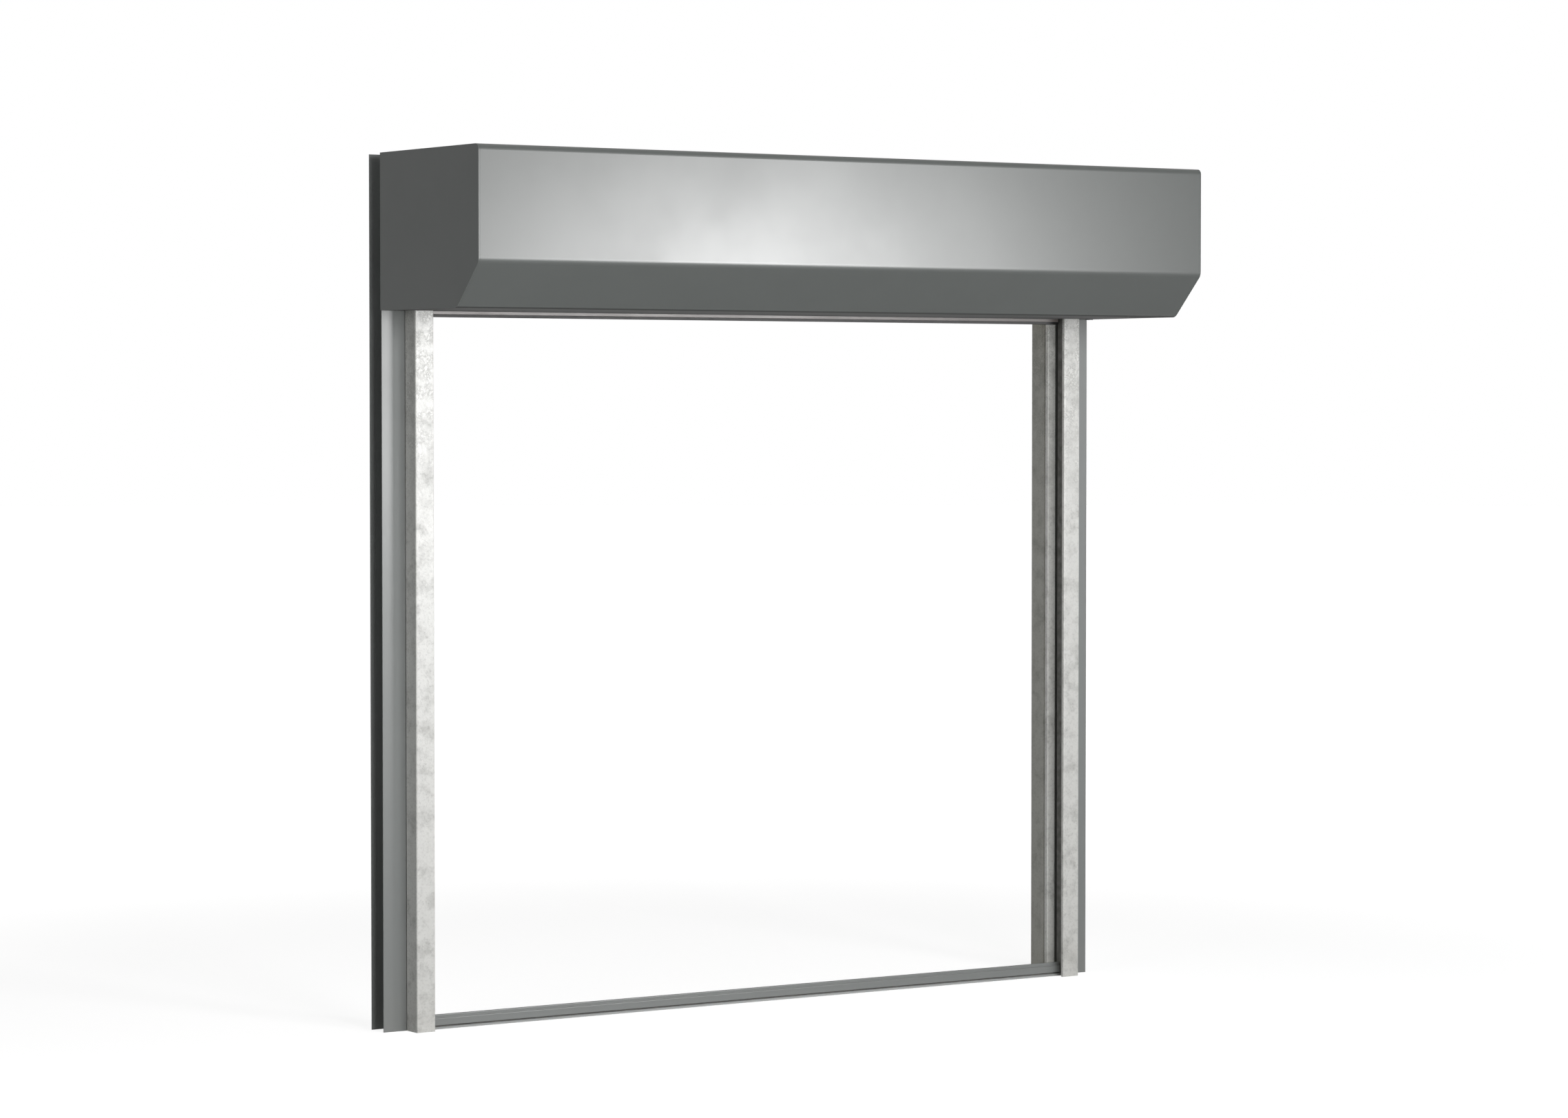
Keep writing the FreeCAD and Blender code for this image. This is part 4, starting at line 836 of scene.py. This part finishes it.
@dataclass
class Curtain:
    """The slats between the coil and the bottom rail.

    When the shutter is lowered they fill the opening, and when it is raised they lie packed
    between the coil and the bottom rail inside the hood.
    """

    half_width: float = 1.3962
    thickness: float = 0.0115
    rows: int = 35
    gap: float = 0.0022
    knuckle: float = 0.0036
    top_z: float = 2.7478427
    foot_z: float = 2.5276
    drop: float = 2.3965
    lane_y: float = 0.01845
    coil_y: float = -0.0276
    mouth_z: float = 2.56
    steps: int = 20000

    def slats(self) -> bpy.types.Object:
        """Makes the lowered curtain, with its first row at height 0 and the others below it.

        Returns:
            The curtain's object.
        """
        length = self.top_z - self.foot_z + self.drop
        tree = GeometryTree("slatted_curtain", {
            "Half Width": self.half_width, "Pitch": length / self.rows, "Rows": self.rows,
            "Thickness": self.thickness, "Gap": self.gap, "Knuckle": self.knuckle,
            "Corner": self.thickness * 0.38,
        })
        board, given = tree.board, tree.given
        height = board.math("SUBTRACT", given["Pitch"], given["Gap"])
        blade = tree.bar(given["Half Width"], given["Thickness"], height, given["Corner"])
        pin = board.add("GeometryNodeCurvePrimitiveCircle", mode="RADIUS")
        board.feed(pin.inputs["Resolution"], 8)
        board.feed(pin.inputs["Radius"], given["Knuckle"])
        hinge = tree.drawn(given["Half Width"], pin.outputs["Curve"])
        half_down = tree.vector(z=board.math("MULTIPLY", given["Pitch"], -0.5))
        slat = tree.joined(blade, tree.moved(hinge, half_down))
        down = tree.vector(z=board.math("MULTIPLY", given["Pitch"], -1.0))
        tree.close(tree.copies(tree.row(given["Rows"], half_down, down), slat))
        return tree.piece("curtain_slats", SLAT_COAT)

    def share_at(self, depth: np.ndarray) -> np.ndarray:
        """Finds where a point of the lowered curtain lies along the raised one.

        Args:
            depth: How far below the coil's hinge each point hangs when the curtain is lowered.

        Returns:
            The share of the way from the coil to the bottom rail when it is raised.
        """
        shares = np.linspace(0.0, 1.0, self.steps + 1)
        rest = self.top_z - self.foot_z
        depths = rest * shares + self.drop * shares * shares * (3 - 2 * shares)
        return np.interp(depth, depths, shares)

    def make(self) -> None:
        """Makes the slats and packs them into the hood."""
        piece = self.slats()
        count = len(piece.data.vertices)
        points = np.empty(count * 3)
        piece.data.vertices.foreach_get("co", points)
        points = points.reshape(count, 3)
        depth = np.clip(-points[:, 2], 0.0, None)
        hung_z = self.top_z - depth
        lean = np.clip((hung_z - self.mouth_z) / (self.top_z - self.mouth_z), 0.0, 1.0)
        points[:, 1] += self.lane_y + (self.coil_y - self.lane_y) * lean
        points[:, 2] = self.top_z - (self.top_z - self.foot_z) * self.share_at(depth)
        piece.data.vertices.foreach_set("co", points.reshape(-1))
        piece.data.update()
        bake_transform(piece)
        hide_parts("curtain_lead")
        report(piece)


@dataclass
class Brush:
    """The brush that closes the slit behind the curtain: a strip with tufts that point forwards."""

    half_width: float = 1.3348
    tip_y: float = 0.0256
    rear_y: float = 0.0429
    low_z: float = 2.462
    high_z: float = 2.467
    strip_depth: float = 0.0062
    strip_corner: float = 0.0008
    root_depth: float = 0.00496
    pitch: float = 0.0021
    hair_radius: float = 0.00032
    hairs: int = 6
    hair_corners: int = 3
    hair_turn: float = 2.4
    taper: float = 0.35
    lean: float = 0.03

    def tuft(self) -> bpy.types.Mesh:
        """Makes one tuft: a few thin hairs that fan out a little, with its root at the origin.

        Returns:
            The tuft's mesh.
        """
        length = self.rear_y - self.tip_y - self.root_depth
        spread = (self.high_z - self.low_z) * 0.26
        mesh = bpy.data.meshes.new("tuft")
        made = bmesh.new()
        for hair in range(self.hairs):
            angle = self.hair_turn * hair
            reach = length * (0.97 - 0.05 * math.sin(3.1 * hair))
            root = (0.3 * self.pitch * math.cos(angle), 0.55 * spread * math.sin(angle))
            tip = (0.5 * self.pitch * math.cos(angle + 0.4), spread * math.sin(angle))
            rings = []
            for share in (0.0, 0.5, 1.0):
                middle_x = root[0] + (tip[0] - root[0]) * share
                middle_z = root[1] + (tip[1] - root[1]) * share * share
                radius = self.hair_radius * (1.0 - self.taper * share)
                rings.append([
                    made.verts.new((
                        middle_x + radius * math.cos(math.tau * corner / self.hair_corners),
                        -reach * share,
                        middle_z + radius * math.sin(math.tau * corner / self.hair_corners),
                    ))
                    for corner in range(self.hair_corners)
                ])
            for low, high in zip(rings, rings[1:]):
                for corner in range(self.hair_corners):
                    after = (corner + 1) % self.hair_corners
                    made.faces.new((low[corner], low[after], high[after], high[corner]))
            made.faces.new(rings[-1])
        bmesh.ops.recalc_face_normals(made, faces=made.faces)
        made.to_mesh(mesh)
        made.free()
        return mesh

    def make(self) -> None:
        """Makes the brush."""
        tree = GeometryTree("bristle_row", {
            "Half Width": self.half_width, "Pitch": self.pitch,
            "Tufts": int(2 * self.half_width / self.pitch) - 1,
            "Root Y": self.rear_y - self.root_depth,
            "Strip Y": self.rear_y - self.strip_depth / 2,
            "Middle Z": (self.low_z + self.high_z) / 2,
            "Strip Depth": self.strip_depth, "Strip Height": self.high_z - self.low_z,
        })
        board, given = tree.board, tree.given
        strip = tree.bar(given["Half Width"], given["Strip Depth"], given["Strip Height"], self.strip_corner)
        strip = tree.moved(strip, tree.vector(y=given["Strip Y"], z=given["Middle Z"]))
        left = board.math("SUBTRACT", given["Pitch"], given["Half Width"])
        first = tree.vector(left, given["Root Y"], given["Middle Z"])
        row = tree.row(given["Tufts"], first, tree.vector(given["Pitch"]))
        tree.close(tree.joined(strip, tree.copies(row, given["Seed"], self.lean)))
        piece = tree.piece("lintel_bristles", BRISTLE, self.tuft())
        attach(piece, Body.FRAME.value)
        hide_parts("lintel_brush")
        report(piece)


@dataclass
class HoodScrews:
    """The pan head screws at both ends of the hood's top, each with a six-lobed recess."""

    half_width: float = 1.4815
    middle_y: float = -0.3365
    spacing: float = 0.15
    per_side: int = 4
    face_z: float = 2.986
    head_radius: float = 0.0046
    head_height: float = 0.0022
    edge: float = 0.0013
    recess_radius: float = 0.0019
    recess_depth: float = 0.0013
    shank_radius: float = 0.0024
    length: float = 0.009
    segments: int = 48
    lobes: float = 0.16
    crease: float = 35.0

    def outline(self) -> list[tuple[float, float, float]]:
        """Lays out the screw's section from the middle of its recess to its tip.

        Returns:
            Radius, height and how deep the six lobes are there, for each ring.
        """
        floor = self.head_height - self.recess_depth
        rings = [(self.recess_radius, floor, self.lobes), (self.recess_radius, self.head_height, self.lobes)]
        for step in range(6):
            turn = math.radians(18 * step)
            rings.append((self.head_radius - self.edge * (1 - math.sin(turn)),
                          self.head_height - self.edge * (1 - math.cos(turn)), 0.0))
        rings += [(self.head_radius, 0.0, 0.0), (self.shank_radius, 0.0, 0.0),
                  (self.shank_radius, -self.length, 0.0)]
        return rings

    def screw(self) -> bpy.types.Mesh:
        """Makes one screw, with the underside of its head at height 0.

        Returns:
            The screw's mesh.
        """
        mesh = bpy.data.meshes.new("pan_head_screw")
        made = bmesh.new()
        rings = []
        for radius, height, lobes in self.outline():
            ring = []
            for step in range(self.segments):
                angle = math.tau * step / self.segments
                reach = radius * (1 + lobes * math.cos(6 * angle))
                ring.append(made.verts.new((reach * math.cos(angle), reach * math.sin(angle), height)))
            rings.append(ring)
        for inner, outer in zip(rings, rings[1:]):
            for step in range(self.segments):
                after = (step + 1) % self.segments
                made.faces.new((inner[step], outer[step], outer[after], inner[after])).smooth = True
        made.faces.new(rings[0])
        made.faces.new(rings[-1][::-1])
        bmesh.ops.recalc_face_normals(made, faces=made.faces)
        for edge in made.edges:
            if len(edge.link_faces) == 2 and edge.calc_face_angle(0.0) > math.radians(self.crease):
                edge.smooth = False
        made.to_mesh(mesh)
        made.free()
        return mesh

    def make(self) -> None:
        """Makes all the screws as one piece."""
        tree = GeometryTree("screw_rows", {
            "Across": 2 * self.half_width, "Along": self.spacing * (self.per_side - 1),
            "Per Side": self.per_side, "Middle Y": self.middle_y, "Face Z": self.face_z,
        })
        board, given = tree.board, tree.given
        grid = board.add("GeometryNodeMeshGrid")
        board.feed(grid.inputs["Size X"], given["Across"])
        board.feed(grid.inputs["Size Y"], given["Along"])
        board.feed(grid.inputs["Vertices X"], 2)
        board.feed(grid.inputs["Vertices Y"], given["Per Side"])
        places = tree.moved(grid.outputs["Mesh"], tree.vector(y=given["Middle Y"], z=given["Face Z"]))
        tree.close(tree.copies(places, given["Seed"]))
        piece = tree.piece("hood_screw_heads", PLATED, self.screw())
        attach(piece, Body.FRAME.value)
        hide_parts("hood_screws")
        report(piece)


@dataclass
class Studio:
    """Floor, lamps, background and camera."""

    camera_place: Triple = (-8.819, -13.553, 2.136)
    yaw: float = 33.4543
    pitch: float = 1.9559
    lens: float = 104.05
    sensor: float = 36.0
    ambient: float = 0.06
    distance: float = 9.0
    middle_z: float = 1.6
    sheen_aim: Triple = (-0.4, 0.0, 2.2)
    floor_radius: float = 80.0
    floor_z: float = -0.0006
    floor_tone: float = 0.62
    floor_glow: float = 0.86
    floor_fade: tuple[float, float] = (2.5, 6.0)

    def camera(self) -> None:
        """Sets the camera where the photograph was taken from."""
        data = bpy.data.cameras.new("camera")
        data.lens = self.lens
        data.sensor_width = self.sensor
        data.sensor_fit = "HORIZONTAL"
        data.clip_end = 200.0
        camera = bpy.data.objects.new("camera", data)
        camera.location = self.camera_place
        camera.rotation_euler = (math.radians(90 - self.pitch), 0.0, math.radians(-self.yaw))
        bpy.context.scene.collection.objects.link(camera)
        bpy.context.scene.camera = camera

    def lamp(self, name: str, place: Sequence[float], aim: Sequence[float],
             size: tuple[float, float], watts: float, glossy_only: bool = False) -> bpy.types.Object:
        """Adds a rectangular soft lamp.

        Args:
            name: The lamp's name.
            place: Where it stands, in metres.
            aim: The point that it faces.
            size: Its width and height in metres.
            watts: Its power.
            glossy_only: Whether it only shows as a sheen.

        Returns:
            The lamp's object.
        """
        data = bpy.data.lights.new(name, "AREA")
        data.shape = "RECTANGLE"
        data.size, data.size_y = size
        data.energy = watts
        lamp = bpy.data.objects.new(name, data)
        lamp.location = place
        away = Vector(place) - Vector(aim)
        lamp.rotation_euler = away.to_track_quat("Z", "Y").to_euler()
        lamp.visible_camera = False
        lamp.visible_diffuse = not glossy_only
        bpy.context.scene.collection.objects.link(lamp)
        return lamp

    def soft_box(self, name: str, azimuth: float, height: float, watts: float,
                 size: tuple[float, float]) -> bpy.types.Object:
        """Adds a soft lamp that faces the doorway from a distance.

        Args:
            name: The lamp's name.
            azimuth: How many degrees it stands to the right of straight in front.
            height: How many degrees it stands above the doorway's middle.
            watts: Its power.
            size: Its width and height in metres.

        Returns:
            The lamp's object.
        """
        turn, rise = math.radians(azimuth), math.radians(height)
        flat = self.distance * math.cos(rise)
        middle = (0.0, 0.0, self.middle_z)
        top = self.middle_z + self.distance * math.sin(rise)
        return self.lamp(name, (flat * math.sin(turn), -flat * math.cos(turn), top), middle, size, watts)

    def world(self) -> None:
        """White where the eye, gloss and glass look, and a low even light elsewhere."""
        world = bpy.data.worlds.new("studio")
        bpy.context.scene.world = world
        world.use_nodes = True
        board = Board(world.node_tree)
        background = world.node_tree.nodes["Background"]
        board.feed(background.inputs["Color"], board.blend(self.seen(board), (self.ambient,) * 3, WHITE))

    @staticmethod
    def seen(board: Board) -> bpy.types.NodeSocket:
        """Tells what is seen directly, in gloss or through glass from what only lights.

        Args:
            board: The board of the material's or the world's tree.

        Returns:
            The output that holds 1 where something is seen, and else 0.
        """
        path = board.add("ShaderNodeLightPath").outputs
        first = board.math("MAXIMUM", path["Is Camera Ray"], path["Is Glossy Ray"])
        return board.math("MAXIMUM", first, path["Is Transmission Ray"])

    def floor(self) -> bpy.types.Object:
        """Lays a pale floor that shows white and keeps a faint shadow.

        Returns:
            The floor's object.
        """
        mesh = bpy.data.meshes.new("floor")
        made = bmesh.new()
        bmesh.ops.create_circle(made, cap_ends=True, segments=96, radius=self.floor_radius)
        bmesh.ops.translate(made, verts=made.verts, vec=(0.0, 0.0, self.floor_z))
        made.to_mesh(mesh)
        made.free()
        floor = bpy.data.objects.new("floor", mesh)
        bpy.context.scene.collection.objects.link(floor)
        material = bpy.data.materials.new("floor")
        material.use_nodes = True
        board = Board(material.node_tree)
        shader = material.node_tree.nodes["Principled BSDF"]
        board.feed(shader.inputs["Base Color"], (self.floor_tone,) * 3)
        board.feed(shader.inputs["Roughness"], 0.9)
        board.feed(shader.inputs["Specular IOR Level"], 0.0)
        board.feed(shader.inputs["Emission Color"], WHITE)
        distance = board.add("ShaderNodeVectorMath", operation="LENGTH")
        board.feed(distance.inputs[0], board.place())
        glow = board.ranged(distance.outputs["Value"], *self.floor_fade, self.floor_glow, 1.0)
        board.feed(shader.inputs["Emission Strength"], board.math("MULTIPLY", self.seen(board), glow))
        mesh.materials.append(material)
        return floor

    @staticmethod
    def keep_off(lamp: bpy.types.Object, floor: bpy.types.Object) -> None:
        """Keeps a lamp's light and shadows off the floor.

        Args:
            lamp: The lamp.
            floor: The floor.
        """
        left_out = bpy.data.collections.new(f"{lamp.name}_leaves_out")
        left_out.objects.link(floor)
        left_out.collection_objects[0].light_linking.link_state = "EXCLUDE"
        lamp.light_linking.receiver_collection = left_out

    def set_up(self) -> None:
        """Builds the studio; the lamps behind, beside and above light only the shutter."""
        self.world()
        floor = self.floor()
        self.soft_box("key", 8.0, 14.0, 152.0, (2.0, 2.0))
        self.soft_box("fill", -14.0, 8.0, 170.0, (2.5, 2.5))
        self.soft_box("low", -5.0, 0.0, 92.0, (4.0, 2.0))
        self.soft_box("side", -65.0, 10.0, 54.0, (3.0, 3.0))
        self.lamp("sheen", (1.64, -4.03, 2.35), self.sheen_aim, (1.0, 0.8), 356.0, glossy_only=True)
        self.lamp("far_sheen", (2.9, -5.5, 2.3), self.sheen_aim, (1.4, 1.1), 213.0, glossy_only=True)
        for lamp in (self.soft_box("back", 172.0, 6.0, 320.0, (3.0, 3.0)),
                     self.soft_box("right", 118.0, 6.0, 190.0, (3.0, 3.0)),
                     self.soft_box("top", 0.0, 88.0, 150.0, (1.5, 1.5))):
            self.keep_off(lamp, floor)
        self.camera()


def finishes() -> dict[Finish, list[str]]:
    """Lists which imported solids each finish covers.

    Returns:
        The starts of the solids' names, by finish.
    """
    return {
        HOOD_PAINT: ["hood_cover", "end_cap_left", "end_cap_right"],
        LIT_FRAME_PAINT: ["wall_channel", "head_channel"],
        GALVANISED: ["guide_rail", "hood_rib", "rail_bracket", "foot_plate"],
        LINER_ZINC: ["guide_liner"],
        SHADED_REVEAL_ZINC: ["reveal_post"],
        RAIL_ALUMINIUM: ["bottom_rail", "lintel_seal_carrier"],
        SILL_ALUMINIUM: ["sill_foot"],
        SILL_PAINT: ["sill_bar"],
        SLAT_COAT: ["curtain_coil"],
        RUBBER: ["bottom_seal", "sill_bed"],
        LINING: ["guide_insert"],
        DARK_PLASTIC: ["end_shoe", "inlet_funnel", "cable_grommet", "limit_crown"],
        BRISTLE: ["lintel_brush"],
        INSULATION: ["lintel_core"],
        LINTEL_PAINT: ["lintel_skins"],
        PLATE_STEEL: ["console_left", "console_right", "barrel_tube", "barrel_end_disc", "motor_bracket"],
        SHAFT_STEEL: ["idler_shaft", "output_shaft", "bearing_ring", "curtain_straps", "drive_wheel"],
        CAST_IRON: ["bearing_housing"],
        MOTOR_PAINT: ["motor_tube", "motor_head"],
        PLATED: ["console_screws", "bracket_screws", "end_cap_screws", "hood_screws", "bearing_bolts",
                 "motor_bolts"],
    }


def dress_solids(nodes: Mapping[str, bpy.types.Object]) -> None:
    """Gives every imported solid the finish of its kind.

    Args:
        nodes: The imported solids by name.
    """
    for finish, starts in finishes().items():
        for name, node in nodes.items():
            if any(name.startswith(start) for start in starts):
                dress(node, finish)


def main() -> None:
    """Builds and dresses the shutter and sets it in the studio."""
    logging.basicConfig(level=logging.INFO, format="%(name)s: %(message)s")
    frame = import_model()
    dress_solids(frame["nodes"])
    for made in (Curtain(), Brush(), HoodScrews()):
        made.make()
    Studio().set_up()
    bpy.context.scene.view_settings.view_transform = "Standard"


if __name__ == "__main__":
    main()
